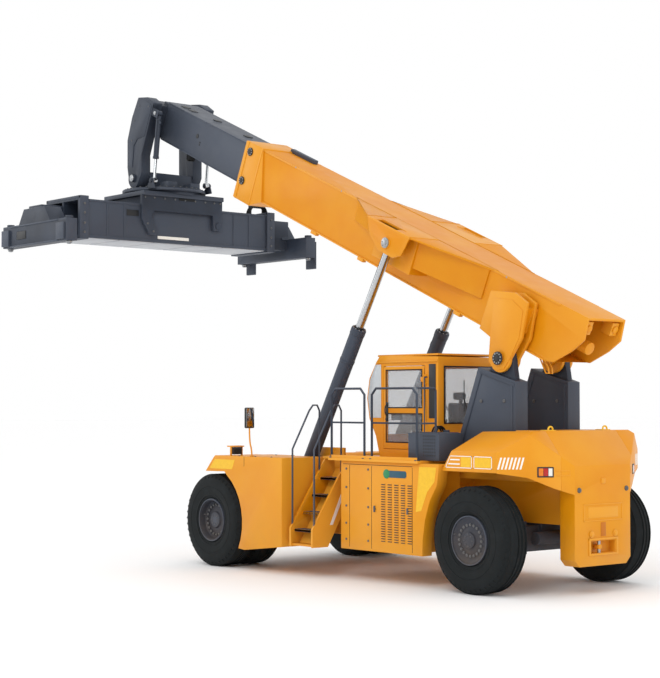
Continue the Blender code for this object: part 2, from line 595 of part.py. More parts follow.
screen[-1] = (-2.90, 3.5388)
glass_outline = screen + [(x - GLASS, z) for x, z in reversed(screen)]
piece("windscreen", machine, GLAZING,
      [side_plate(glass_outline, -windscreen_y + SEAT, windscreen_y - SEAT)])
piece("rear_window", machine, GLAZING, [
    block(CAB_REAR_X + 0.02, CAB_REAR_X + 0.02 + GLASS, -0.60 + SEAT, 0.60 - SEAT,
          2.55 + SEAT, 3.45 - SEAT)])
piece("right_window", machine, GLAZING, [
    block(DOOR_REAR_X + SEAT, -3.0 - SEAT, -CAB_HALF_WIDTH + 0.02, -CAB_HALF_WIDTH + 0.02 + GLASS,
          2.45 + SEAT, 3.45 - SEAT)])
seat_x = -3.85
piece("driver_seat", machine, SEATING, [
    block(seat_x - 0.20, seat_x + 0.20, -0.20, 0.20, CAB_FLOOR_Z + CAB_WALL + SEAT, 2.30),
    block(seat_x - 0.24, seat_x + 0.26, -0.25, 0.25, 2.28, 2.42),
    block(seat_x - 0.34, seat_x - 0.20, -0.24, 0.24, 2.38, 3.05)])
piece("control_console", machine, SLATE, [
    block(-3.16, -3.06, -0.10, 0.10, CAB_FLOOR_Z + CAB_WALL + SEAT, 2.62),
    drum((-3.18, 0, 2.66), 0.19, 0.035, axis="z"),
    drum((-3.14, 0, 2.63), 0.03, 0.08, axis="z")])

door_joint = empty("cab_door_joint", (DOOR_REAR_X, HINGE_Y, DOOR_BASE_Z), parent=machine)
door_length = DOOR_FRONT_X - DOOR_REAR_X - 2 * DOOR_GAP
door_y = CAB_HALF_WIDTH - HINGE_Y
door_low = DOOR_BOTTOM_Z - DOOR_BASE_Z + DOOR_GAP
door_high = DOOR_TOP_Z - DOOR_BASE_Z - DOOR_GAP
window_low = 0.80
window_front = 0.07
window_rear = door_length - 0.06
piece("cab_door", door_joint, ORANGE,
      [block(DOOR_GAP, DOOR_GAP + door_length, door_y - 0.045, door_y, door_low, door_high)]
      + [drum((0, 0, z), HINGE_RADIUS, HINGE_HEIGHT, axis="z", steps=12) for z in HINGE_HEIGHTS]
      + [block(0, 0.09, door_y - 0.01, 0.004, z - 0.04, z + 0.04) for z in HINGE_HEIGHTS],
      cut=[block(window_front, window_rear, -1, 1, window_low, door_high - 0.07),
           block(window_front, window_rear, -1, 1, door_low + 0.12, window_low - 0.12)])
for name, low, high in (("upper", window_low, door_high - 0.07),
                        ("lower", door_low + 0.12, window_low - 0.12)):
    piece("cab_door_window_" + name, door_joint, GLAZING, [
        block(window_front + SEAT, window_rear - SEAT, door_y - 0.03, door_y - 0.03 + GLASS,
              low + SEAT, high - SEAT)])

# ================================================================ wheels
half = TYRE_WIDTH / 2
tyre_half = [(RIM_RADIUS + SEAT, half - 0.05), (0.45, half - 0.005), (0.60, half), (0.73, half - 0.005),
             (0.785, half - 0.03), (TYRE_RADIUS, half - 0.09)]
tyre_profile = tyre_half + [(radius, -y) for radius, y in reversed(tyre_half)]


def shifted(profile, y):
    return [(radius, place + y) for radius, place in profile]


for name, side in SIDES:
    joint = empty("front_wheels_%s_joint" % name, (0, side * FRONT_OUTER_TYRE_Y, AXLE_HEIGHT),
                  parent=machine)
    piece("front_tyre_outer_" + name, joint, RUBBER, [turned(tyre_profile, side)])
    piece("front_tyre_inner_" + name, joint, RUBBER,
          [turned(shifted(tyre_profile, -FRONT_TWIN_SPACING), side)])
    hub_y = FRONT_HUB_Y - FRONT_OUTER_TYRE_Y
    barrel_end = half - 0.01
    rim = [(0, hub_y), (0.20, hub_y), (0.20, hub_y + 0.16), (0.32, hub_y + 0.16),
           (0.32, -FRONT_TWIN_SPACING - barrel_end), (RIM_RADIUS, -FRONT_TWIN_SPACING - barrel_end),
           (RIM_RADIUS, barrel_end), (0.345, barrel_end), (0.31, barrel_end - 0.11),
           (0.22, barrel_end - 0.12), (0.20, barrel_end - 0.06), (0, barrel_end - 0.05)]
    piece("front_rims_" + name, joint, SLATE, [turned(rim, side)])

    steer = empty("rear_steer_%s_joint" % name, (-WHEELBASE, side * KINGPIN_Y, AXLE_HEIGHT),
                  parent=machine)
    spindle_end = REAR_TYRE_Y - KINGPIN_Y - REAR_DISC_INSET - SEAT
    knuckle_half = KNUCKLE_HALF_HEIGHT - SEAT
    piece("rear_knuckle_" + name, steer, SLATE, [
        drum((0, 0, 0), 0.10, 2 * knuckle_half, axis="z"),
        drum((0, side * spindle_end / 2, 0), SPINDLE_RADIUS, spindle_end)])

    joint = empty("rear_wheel_%s_joint" % name, (-WHEELBASE, side * REAR_TYRE_Y, AXLE_HEIGHT),
                  parent=machine)
    piece("rear_tyre_" + name, joint, RUBBER, [turned(tyre_profile, side)])
    rim = [(0, -REAR_DISC_INSET), (0.33, -REAR_DISC_INSET), (0.33, -barrel_end),
           (RIM_RADIUS, -barrel_end), (RIM_RADIUS, barrel_end), (0.345, barrel_end),
           (0.32, barrel_end - 0.04), (0.22, barrel_end - 0.05), (0.20, barrel_end), (0, barrel_end)]
    piece("rear_rim_" + name, joint, SLATE, [turned(rim, side)])

# ================================================================ boom
boom = empty("boom_joint", (PIVOT_X, 0, PIVOT_Z), BOOM_ANGLE, machine)
boom_top = BOOM_BOTTOM + BOOM_HEIGHT
boom_side = [(BOOM_REAR, boom_top), (BOOM_REAR - 0.05, 0.81), (-1.08, 0.57), (-0.80, 0.27),
             (-0.60, BOOM_BOTTOM), (BOOM_FRONT, BOOM_BOTTOM), (BOOM_FRONT, boom_top)]
collar_rear = BOOM_FRONT - COLLAR_LENGTH
boom_shapes = [
    side_plate(boom_side, -BOOM_HALF_WIDTH, BOOM_HALF_WIDTH),
    side_plate([(collar_rear - 0.35, BOOM_BOTTOM + 0.01), (collar_rear, BOOM_BOTTOM - COLLAR_DROP),
                (BOOM_FRONT, BOOM_BOTTOM - COLLAR_DROP), (BOOM_FRONT, boom_top + 0.025),
                (collar_rear, boom_top + 0.025)],
               -BOOM_HALF_WIDTH - COLLAR_PROUD, BOOM_HALF_WIDTH + COLLAR_PROUD)]
ear = ([(0.60, BOOM_BOTTOM + 0.05), (0.335, 0.225)] + arc((0, 0), EAR_RADIUS, 20, -200, 12)
       + [(-0.30, 0.45), (-0.20, 1.0), (0.10, 1.05), (0.60, 0.9)])
inner_ear = LUG_INNER_Y - EAR_SIDE_GAP
outer_ear = LUG_OUTER_Y + EAR_SIDE_GAP
bracket = [(2.33, 1.14), (2.42, 0.80), (2.60, 0.70), (2.98, 0.70), (3.30, 0.88), (3.46, 1.14)]
bracket_outer = CYLINDER_Y + EYE_WIDTH / 2 + SLIDE
bracket_top = EYE[1] + EYE_RADIUS + 0.11
wing_edge = bracket_outer + WING_PLATE - 0.002
for _, side in SIDES:
    boom_shapes += [
        side_plate(ear, side * (inner_ear - EAR_THICKNESS), side * inner_ear),
        side_plate(ear, side * outer_ear, side * (outer_ear + EAR_THICKNESS)),
        block(-0.20, 0.60, side * (BOOM_HALF_WIDTH - 0.02), side * (outer_ear + 0.03), 0.50, 0.90),
        block(-0.20, 0.58, side * (BOOM_HALF_WIDTH - 0.02), side * (inner_ear - 0.02), 0.30, 0.90),
        drum((0, side * 0.6, 0), PIVOT_PIN_RADIUS, 2 * (outer_ear - 0.6 + 0.10)),
        side_plate(bracket, side * bracket_outer, side * (bracket_outer + WING_PLATE)),
        block(2.33, 3.46, side * (BOOM_HALF_WIDTH - 0.02), side * (bracket_outer + WING_PLATE),
              EYE[1] + EYE_RADIUS + 0.07, EYE[1] + EYE_RADIUS + 0.11),
        block(2.36, 3.36, side * (BOOM_HALF_WIDTH - 0.02),
              side * (CYLINDER_Y - BARREL_RADIUS - CLEAR), 0.50, EYE[1] + EYE_RADIUS + 0.09),
        drum((EYE[0], side * (CYLINDER_Y - EYE_WIDTH / 2 - 0.05), EYE[1]), 0.13, 0.08),
        plan_plate([(4.60, side * (BOOM_HALF_WIDTH - 0.02)), (3.44, side * wing_edge),
                    (2.35, side * wing_edge), (0.85, side * (BOOM_HALF_WIDTH - 0.02))],
                   bracket_top - 0.035, bracket_top - 0.003),
        plan_plate([(2.40, side * (BOOM_HALF_WIDTH - 0.02)), (2.40, side * WING_ROOT_Y),
                    (1.00, side * (BOOM_HALF_WIDTH + 0.03)), (1.00, side * (BOOM_HALF_WIDTH - 0.02))],
                   0.62, bracket_top - 0.02),
        plan_plate([(3.30, side * (BOOM_HALF_WIDTH - 0.02)), (3.30, side * WING_ROOT_Y),
                    (4.45, side * (BOOM_HALF_WIDTH + 0.03)), (4.45, side * (BOOM_HALF_WIDTH - 0.02))],
                   0.78, bracket_top - 0.02),
        drum((EYE[0], side * (bracket_outer + WING_PLATE + 0.01), EYE[1]), 0.10, 0.03)]
eye_slots = [block(EYE[0] - 0.11, EYE[0] + 0.42, side * (CYLINDER_Y - EYE_WIDTH / 2 - CLEAR),
                   side * (bracket_outer + 0.004), EYE[1] + EYE_RADIUS + 0.04, boom_top + 0.2)
             for _, side in SIDES]
piece("outer_boom", boom, ORANGE, boom_shapes, cut=eye_slots + [
    block(BOOM_REAR - 1, BOOM_FRONT + 1, -BOOM_HALF_WIDTH + BOOM_WALL, BOOM_HALF_WIDTH - BOOM_WALL,
          BOOM_BOTTOM + BOOM_WALL, boom_top - BOOM_WALL)])

telescope = empty("telescope_joint", (PIVOT_X, 0, PIVOT_Z), BOOM_ANGLE, machine)
inner_bottom = BOOM_BOTTOM + BOOM_WALL + SLIDE
inner_low = BOOM_BOTTOM + BOOM_WALL + 0.055
inner_top = inner_low + INNER_HEIGHT
piece("inner_boom", telescope, SLATE, [
    block(INNER_REAR, HEAD_REAR + 0.05, -INNER_HALF_WIDTH, INNER_HALF_WIDTH, inner_low, inner_top),
    block(INNER_REAR + 0.02, INNER_REAR + 0.50, -0.30, 0.30, inner_bottom, inner_low + 0.02),
    ], cut=[block(INNER_REAR - 1, HEAD_REAR + 1, -INNER_HALF_WIDTH + INNER_WALL,
                  INNER_HALF_WIDTH - INNER_WALL, inner_low + INNER_WALL, inner_top - INNER_WALL)])

pin_u, pin_w = TILT_PIN
arm = ([(HEAD_REAR, 0.30), (HEAD_REAR, 1.05), (11.21, 1.09), (11.54, 0.99), (11.60, 0.55),
        (11.574, 0.068), (11.343, -0.45)]
       + arc(TILT_PIN, 0.20, -10, -160, 7) + [(10.806, -0.371), (HEAD_REAR, -0.04)])
head_shapes = [block(HEAD_REAR + 0.05 + SEAT, 11.49, -HEAD_ARM_INNER_Y - 0.05, HEAD_ARM_INNER_Y + 0.05,
                     inner_low + 0.02, 0.995),
               block(HEAD_REAR - 0.55, 11.2, -INNER_HALF_WIDTH + INNER_WALL + SEAT,
                     INNER_HALF_WIDTH - INNER_WALL - SEAT, inner_low + INNER_WALL + SEAT,
                     inner_top - INNER_WALL - SEAT)]
pins = []
for _, side in SIDES:
    head_shapes.append(side_plate(arm, side * HEAD_ARM_INNER_Y, side * HEAD_ARM_OUTER_Y))
    head_shapes.append(block(DAMPER_TOP[0] - 0.09, HEAD_REAR + 0.03, side * (DAMPER_Y + 0.07),
                             side * (DAMPER_Y + 0.10), DAMPER_TOP[1] - 0.08, DAMPER_TOP[1] + 0.08))
    pins.append(drum((pin_u, side * 0.64, pin_w), TILT_PIN_RADIUS + PIN_FIT, 0.5))
piece("boom_head", telescope, SLATE, head_shapes, cut=pins)

# ================================================================ cylinders
def cylinder(name, y, start, end, barrel, rod, eye_radius, eye_width, barrel_length, stop):
    """A barrel that turns on its start pin, and a rod that slides out to the end pin."""
    angle = atan2(end[1] - start[1], end[0] - start[0]) * 180 / pi
    reach = hypot(end[0] - start[0], end[1] - start[1])
    barrel_start = eye_radius * 0.75
    base = empty(name + "_barrel_joint", (start[0], y, start[1]), angle, machine)
    piece(name + "_barrel", base, SLATE, [
        drum((0, 0, 0), eye_radius, eye_width),
        drum(((barrel_length + barrel_start) / 2, 0, 0), barrel, barrel_length - barrel_start, axis="x")],
        cut=[drum((eye_radius + 0.05 + barrel_length / 2, 0, 0), rod + SEAT * 2, barrel_length,
                  axis="x")])
    slide = empty(name + "_rod_joint", (end[0], y, end[1]), angle, machine)
    piece(name + "_rod", slide, CHROME, [
        drum((0, 0, 0), eye_radius, eye_width),
        drum((-(reach - stop) / 2, 0, 0), rod, reach - stop, axis="x")])
    return angle, reach


eye = boom_point(*EYE)
damper_top = boom_point(*DAMPER_TOP)
tilt_x, tilt_z = boom_point(*TILT_PIN)
for name, side in SIDES:
    cylinder("lift_" + name, side * CYLINDER_Y, (FOOT_X, FOOT_Z), eye, BARREL_RADIUS, ROD_RADIUS,
             EYE_RADIUS, EYE_WIDTH, BARREL_LENGTH, ROD_STOP)
    cylinder("damper_" + name, side * DAMPER_Y, damper_top,
             (tilt_x + DAMPER_FOOT[0], tilt_z + DAMPER_FOOT[1]), DAMPER_RADIUS, DAMPER_ROD_RADIUS,
             0.06, 0.09, DAMPER_BARREL_LENGTH, DAMPER_STOP)

# ================================================================ rotator and spreader
tilt = empty("tilt_joint", (tilt_x, 0, tilt_z), parent=machine)
lug_y = DAMPER_Y + 0.045 + SLIDE
rotator = [
    block(-0.26, 0.26, -HEAD_ARM_INNER_Y + CLEAR, HEAD_ARM_INNER_Y - CLEAR, SLEW_TOP_Z - 0.01, 0.12),
    drum((0, 0, SLEW_TOP_Z - SLEW_PLATE / 2), SLEW_RADIUS, SLEW_PLATE, axis="z", steps=36),
    drum((0, 0, 0), TILT_PIN_RADIUS, 2 * (HEAD_ARM_OUTER_Y + 0.04))]
for _, side in SIDES:
    rotator.append(side_plate(
        [(DAMPER_FOOT[0] - 0.12, SLEW_TOP_Z - 0.05), (DAMPER_FOOT[0] + 0.20, SLEW_TOP_Z - 0.05)]
        + arc((DAMPER_FOOT[0], DAMPER_FOOT[1]), 0.06, 0, 180), side * lug_y, side * (lug_y + 0.03)))
piece("rotator", tilt, SLATE, rotator)

turntable = empty("rotation_joint", (tilt_x, 0, tilt_z), parent=machine)
slew_low = SLEW_TOP_Z - SLEW_PLATE - SLIDE
plate_top = slew_low - 0.045
plate_low = plate_top - CARRIAGE_PLATE
carriage = [
    drum((0, 0, (slew_low + plate_top) / 2 - 0.01), SLEW_RADIUS - 0.08, slew_low - plate_top + 0.02,
         axis="z", steps=36),
    block(-CARRIAGE_HALF_X, CARRIAGE_HALF_X, -CARRIAGE_HALF_Y, CARRIAGE_HALF_Y, plate_low, plate_top),
    block(-BEAM_HALF_X + 0.08, BEAM_HALF_X - 0.08, -0.9, 0.9, BEAM_TOP_Z + SLIDE, plate_low + 0.01)]
hanger = [(CARRIAGE_HALF_Y, plate_low + 0.01), (CARRIAGE_HALF_Y, BEAM_TOP_Z - 0.30),
          (CARRIAGE_HALF_Y - 0.19, BEAM_TOP_Z - 0.62), (CARRIAGE_HALF_Y - 0.37, BEAM_TOP_Z - 0.62),
          (CARRIAGE_HALF_Y - 0.24, BEAM_TOP_Z - 0.25), (CARRIAGE_HALF_Y - 0.30, BEAM_TOP_Z - 0.13),
          (0.24 - CARRIAGE_HALF_Y, BEAM_TOP_Z - 0.13), (0.22 - CARRIAGE_HALF_Y, BEAM_TOP_Z - 0.44),
          (-CARRIAGE_HALF_Y, BEAM_TOP_Z - 0.44), (-CARRIAGE_HALF_Y, plate_low + 0.01)]
for x in (-1, 1):
    carriage.append(end_plate(hanger, *sorted((x * (BEAM_HALF_X + CLEAR), x * (CARRIAGE_HALF_X - 0.05)))))
piece("spreader_carriage", turntable, SLATE, carriage)

shift = empty("side_shift_joint", (tilt_x, 0, tilt_z), parent=machine)
beam_low = BEAM_TOP_Z - BEAM_HEIGHT
bays = [block(x * 0.03, x * (BEAM_HALF_X - BEAM_WALL), -9, 9, beam_low + BEAM_WALL,
              BEAM_TOP_Z - BEAM_WALL) for x in (-1, 1)]
piece("spreader_beam", shift, SLATE, [
    block(-BEAM_HALF_X, BEAM_HALF_X, -BEAM_HALF_Y, BEAM_HALF_Y, beam_low, BEAM_TOP_Z)], cut=bays)

slider_low = beam_low + BEAM_WALL + SLIDE
slider_high = slider_low + SLIDER_HEIGHT
end_inner = TWISTLOCK_Y - END_BEAM_DEPTH / 2
end_outer = TWISTLOCK_Y + END_BEAM_DEPTH / 2
end_top = END_BEAM_BOTTOM_Z + END_BEAM_HEIGHT
for name, side in SIDES:
    end = empty("spreader_end_%s_joint" % name, (tilt_x, 0, tilt_z), parent=machine)
    near, far = sorted((side * 0.05, side * (BEAM_HALF_X - BEAM_WALL - CLEAR)))
    shapes = [block(near, far, side * -SLIDER_TAIL, side * (end_inner + 0.05), slider_low, slider_high),
              block(-END_BEAM_HALF_X, END_BEAM_HALF_X, side * end_inner, side * end_outer,
                    END_BEAM_BOTTOM_Z, end_top),
              side_plate([(-0.60, end_top - 0.02), (-0.35, -0.77), (0.45, -0.77), (0.66, end_top - 0.02)],
                         side * (end_inner - 0.15), side * (end_outer - 0.03))]
    for x in (-1, 1):
        shapes += [
            drum((x * TWISTLOCK_X, side * TWISTLOCK_Y, END_BEAM_BOTTOM_Z - TWISTLOCK_DROP / 2 + 0.01),
                 0.035, TWISTLOCK_DROP + 0.02, axis="z", end_radius=0.055, steps=12),
            block(x * (END_BEAM_HALF_X - 0.30), x * (END_BEAM_HALF_X - 0.02), side * (end_outer - 0.02),
                  side * (end_outer + 0.05), END_BEAM_BOTTOM_Z - (0.23 if side < 0 else -0.03),
                  end_top - 0.08)]
    cavity = block(near + 0.03, far - 0.03, -side * (SLIDER_TAIL + 1), side * (end_inner - 0.2),
                   slider_low + 0.03, slider_high - 0.03)
    piece("spreader_end_" + name, end, SLATE, shapes, cut=[cavity])
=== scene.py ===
"""The looks of a reach stacker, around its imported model, in metres, +Z up and +X forward."""
import json
from math import atan2, pi, radians

import bpy
from mathutils import Matrix, Vector

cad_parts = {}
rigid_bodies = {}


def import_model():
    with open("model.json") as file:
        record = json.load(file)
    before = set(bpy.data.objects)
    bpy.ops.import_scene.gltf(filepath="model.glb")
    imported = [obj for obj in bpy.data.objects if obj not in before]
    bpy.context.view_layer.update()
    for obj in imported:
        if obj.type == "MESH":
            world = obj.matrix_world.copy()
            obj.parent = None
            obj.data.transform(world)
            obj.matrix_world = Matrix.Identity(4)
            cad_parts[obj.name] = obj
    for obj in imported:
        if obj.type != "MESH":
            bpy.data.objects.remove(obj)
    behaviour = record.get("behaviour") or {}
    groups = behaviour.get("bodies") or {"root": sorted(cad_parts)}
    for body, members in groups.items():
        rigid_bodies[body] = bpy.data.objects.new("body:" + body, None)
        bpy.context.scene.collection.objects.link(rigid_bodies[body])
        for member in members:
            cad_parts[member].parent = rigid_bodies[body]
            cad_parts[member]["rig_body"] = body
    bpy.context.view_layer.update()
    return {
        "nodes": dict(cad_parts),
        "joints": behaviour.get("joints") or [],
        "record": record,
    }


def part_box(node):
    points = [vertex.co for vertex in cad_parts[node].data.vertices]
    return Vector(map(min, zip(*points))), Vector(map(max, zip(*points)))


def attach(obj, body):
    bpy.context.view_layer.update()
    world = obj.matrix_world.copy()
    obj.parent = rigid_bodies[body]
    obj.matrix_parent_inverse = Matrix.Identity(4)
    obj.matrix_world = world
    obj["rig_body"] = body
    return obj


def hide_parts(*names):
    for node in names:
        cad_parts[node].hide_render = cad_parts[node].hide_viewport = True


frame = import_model()

NODES = frame["nodes"]
JOINTS = {joint["name"]: joint for joint in frame["joints"]}
SIDES = (("left", 1), ("right", -1))

# ---------------------------------------------------------------- places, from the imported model
PIVOT = Vector(JOINTS["boom_lift"]["pos_m"])
BOOM_AXIS = Vector(JOINTS["telescope"]["axis"])
BOOM_TURN = -atan2(BOOM_AXIS.z, BOOM_AXIS.x)
TILT = Vector(JOINTS["spreader_tilt"]["pos_m"])
AXLE_X = JOINTS["front_wheels_left"]["pos_m"][0]
REAR_AXLE_X = JOINTS["rear_wheel_left"]["pos_m"][0]
AXLE_Z = JOINTS["front_wheels_left"]["pos_m"][2]
WHEEL_Y = JOINTS["front_wheels_left"]["pos_m"][1]
REAR_WHEEL_Y = JOINTS["rear_wheel_left"]["pos_m"][1]


# ---------------------------------------------------------------- modelling
MERGE = 0.0001
THINNEST = 0.0001
SHARPEST = 32
OUTWARD = ("normals_make_consistent", {"inside": False})
TURNS = {"x": (0, pi / 2, 0), "y": (-pi / 2, 0, 0), "z": (0, 0, 0)}


def deselect():
    if bpy.context.mode != "OBJECT":
        bpy.ops.object.mode_set(mode="OBJECT")
    bpy.ops.object.select_all(action="DESELECT")


def pick(piece):
    deselect()
    piece.select_set(True)
    bpy.context.view_layer.objects.active = piece
    return piece


def settle(piece):
    """Its place, turn and size go into its mesh."""
    pick(piece)
    bpy.ops.object.transform_apply(location=True, rotation=True, scale=True)
    return piece


def finish_with(piece, kind, **settings):
    """Adds a modifier and applies it."""
    pick(piece)
    modifier = piece.modifiers.new(kind.lower(), kind)
    for setting, value in settings.items():
        setattr(modifier, setting, value)
    bpy.ops.object.modifier_apply(modifier=modifier.name)
    return piece


def edges_rounded(piece, width, segments=2):
    if width:
        finish_with(piece, "BEVEL", width=width, segments=segments, limit_method="ANGLE",
            angle_limit=radians(SHARPEST), use_clamp_overlap=False)
    return piece


def smooth(piece, angle=35):
    pick(piece)
    bpy.ops.object.shade_smooth_by_angle(angle=radians(angle))
    return piece


def edit(piece, *steps):
    """Mesh operators run in edit mode, each on the whole mesh."""
    pick(piece)
    bpy.ops.object.mode_set(mode="EDIT")
    for operator, settings in steps:
        bpy.ops.mesh.select_all(action="SELECT")
        getattr(bpy.ops.mesh, operator)(**settings)
    bpy.ops.object.mode_set(mode="OBJECT")
    return piece


def faces_outward(piece):
    return edit(piece, OUTWARD)


def block(low, high, bevel=0.006):
    """A block between any two opposite corners, with its edges rounded."""
    deselect()
    low, high = Vector(low), Vector(high)
    bpy.ops.mesh.primitive_cube_add(size=1, location=(low + high) / 2)
    piece = bpy.context.object
    piece.scale = [max(abs(reach), THINNEST) for reach in high - low]
    settle(piece)
    return edges_rounded(piece, bevel)


def drum(centre, radius, depth, axis="y", bevel=0.004, steps=32, top=None):
    """A round boss, cap, pin or cone on an axis, with its rims rounded."""
    deselect()
    bpy.ops.mesh.primitive_cone_add(vertices=steps, radius1=radius, depth=depth, location=centre,
        radius2=radius if top is None else top, rotation=TURNS[axis])
    return edges_rounded(settle(bpy.context.object), bevel)


def nut(centre, size, depth, axis="y"):
    """A hexagon bolt head on its washer."""
    head = drum(centre, size, depth, axis, bevel=size * 0.12, steps=6)
    washer = drum(centre, size * 1.35, depth * 0.4, axis, bevel=0, steps=16)
    return joined("nut", [head, washer])


def turned(profile, axis="y", steps=64):
    """A profile of (radius, along) points, spun about the axis through the origin."""
    deselect()
    bpy.ops.mesh.primitive_plane_add(size=0.001, location=(profile[0][0], 0, profile[0][1]))
    piece = settle(bpy.context.object)
    bpy.ops.object.mode_set(mode="EDIT")
    bpy.ops.mesh.select_all(action="SELECT")
    bpy.ops.mesh.merge(type="CENTER")
    for (r0, z0), (r1, z1) in zip(profile, profile[1:]):
        bpy.ops.mesh.extrude_region_move(TRANSFORM_OT_translate={"value": (r1 - r0, 0, z1 - z0)})
    bpy.ops.mesh.select_all(action="SELECT")
    bpy.ops.mesh.spin(steps=steps, angle=2 * pi, center=(0, 0, 0), axis=(0, 0, 1))
    bpy.ops.mesh.select_all(action="SELECT")
    bpy.ops.mesh.remove_doubles(threshold=MERGE)
    bpy.ops.mesh.normals_make_consistent(inside=False)
    bpy.ops.object.mode_set(mode="OBJECT")
    piece.rotation_euler = TURNS[axis]
    return settle(piece)


def plate(points, thickness, turn=Matrix.Identity(4), bevel=0.004):
    """A flat plate of an outline drawn in XY, thick along Z, then put in place."""
    deselect()
    bpy.ops.mesh.primitive_circle_add(vertices=len(points), radius=1, fill_type="NGON")
    piece = bpy.context.object
    for vertex, (a, b) in zip(piece.data.vertices, points):
        vertex.co = (a, b, -thickness / 2)
    edit(piece, ("extrude_region_move", {"TRANSFORM_OT_translate": {"value": (0, 0, thickness)}}), OUTWARD)
    piece.matrix_world = turn
    return edges_rounded(settle(piece), bevel)


def upright(points, y, thickness, bevel=0.004):
    """A plate of (x, z) points that stands along the machine at y."""
    return plate(points, thickness, Matrix.Translation((0, y, 0)) @ Matrix.Rotation(pi / 2, 4, "X"), bevel)


def hose(points, radius, smooth_route=True):
    """A round bar, rail or hose through the points."""
    deselect()
    bpy.ops.curve.primitive_bezier_curve_add()
    piece = bpy.context.object
    curve = piece.data
    curve.splines.clear()
    spline = curve.splines.new("NURBS" if smooth_route else "POLY")
    spline.points.add(len(points) - 1)
    for target, point in zip(spline.points, points):
        target.co = (*point, 1)
    if smooth_route:
        spline.order_u = 3
        spline.use_endpoint_u = True
        spline.resolution_u = 6
    curve.bevel_depth = radius
    curve.bevel_resolution = 3
    curve.use_fill_caps = True
    pick(piece)
    bpy.ops.object.convert(target="MESH")
    return edit(bpy.context.object, ("remove_doubles", {"threshold": 2 * MERGE}), OUTWARD)


def joined(name, pieces):
    deselect()
    for piece in pieces:
        piece.select_set(True)
    bpy.context.view_layer.objects.active = pieces[0]
    if len(pieces) > 1:
        bpy.ops.object.join()
    pieces[0].name = name
    return pieces[0]


def ring(piece, count, centre, axis="Y"):
    """The piece repeated round an axis, each time with its own mesh."""
    middle = Matrix.Translation(centre)
    made = []
    for step in range(count):
        again = piece.copy()
        again.data = piece.data.copy()
        bpy.context.collection.objects.link(again)
        turn = Matrix.Rotation(2 * pi * step / count, 4, axis)
        again.data.transform(middle @ turn @ middle.inverted())
        made.append(again)
    bpy.data.objects.remove(piece)
    return made


def moved(pieces, place):
    """The pieces' meshes after a move or a turn."""
    for piece in pieces:
        piece.data.transform(place)
    return pieces


def on_boom(pieces):
    """Pieces drawn in the boom's own directions, laid on the boom."""
    return moved(pieces, Matrix.Translation(PIVOT) @ Matrix.Rotation(BOOM_TURN, 4, "Y"))


def outfit(name, pieces, body, finish, angle=35):
    """One finished piece: its shapes, material, body and material slot."""
    piece = joined(name, pieces)
    piece.data.name = name
    piece.data.materials.clear()
    piece.data.materials.append(finish)
    smooth(piece, angle)
    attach(piece, body)
    return piece


def outfit_all(body, ending, *rows):
    """A finished piece for each row of a name, shapes, a material and a material slot; the slot is not
    used.
    """
    for name, pieces, finish, slot in rows:
        outfit(name + ending, pieces, body, finish)


# ---------------------------------------------------------------- materials
def linear(colour):
    channels = [int(colour[i:i + 2], 16) / 255 for i in (0, 2, 4)]
    return tuple(c / 12.92 if c <= 0.04045 else ((c + 0.055) / 1.055) ** 2.4 for c in channels) + (1,)


def add_node(tree, kind, settings=(), **links):
    """A node with its settings, and its inputs set or linked by name."""
    made = tree.nodes.new("ShaderNode" + kind)
    for setting, value in dict(settings).items():
        setattr(made, setting, value)
    for name, value in links.items():
        index = int(name[1:]) if name[0] == "i" and name[1:].isdigit() else name.replace("_", " ")
        if hasattr(value, "is_output"):
            tree.links.new(value, made.inputs[index])
        else:
            made.inputs[index].default_value = value
    return made


def new_material(name, roughness, metallic=0.0, **sockets):
    made = bpy.data.materials.new(name)
    made.use_nodes = True
    shader = made.node_tree.nodes["Principled BSDF"]
    shader.inputs["Roughness"].default_value = roughness
    shader.inputs["Metallic"].default_value = metallic
    for socket, value in sockets.items():
        shader.inputs[socket.replace("_", " ")].default_value = value
    return made, made.node_tree, shader


def ramp(tree, factor, low, high, low_colour, high_colour):
    made = add_node(tree, "ValToRGB", i0=factor)
    first, last = made.color_ramp.elements
    first.position, last.position = low, high
    first.color, last.color = low_colour, high_colour
    return made.outputs["Color"]


def mixed(tree, factor, first, second, blend="MIX"):
    made = add_node(tree, "Mix", {"data_type": "RGBA", "blend_type": blend}, i0=factor, i6=first, i7=second)
    return made.outputs[2]


def noise(tree, size, detail=3.0, stretch=(1, 1, 1)):
    """Noise whose patches are about this wide, in metres."""
    place = add_node(tree, "TexCoord").outputs["Object"]
    place = add_node(tree, "Mapping", Vector=place, Scale=stretch).outputs["Vector"]
    return add_node(tree, "TexNoise", Vector=place, Scale=1 / size, Detail=detail).outputs["Fac"]


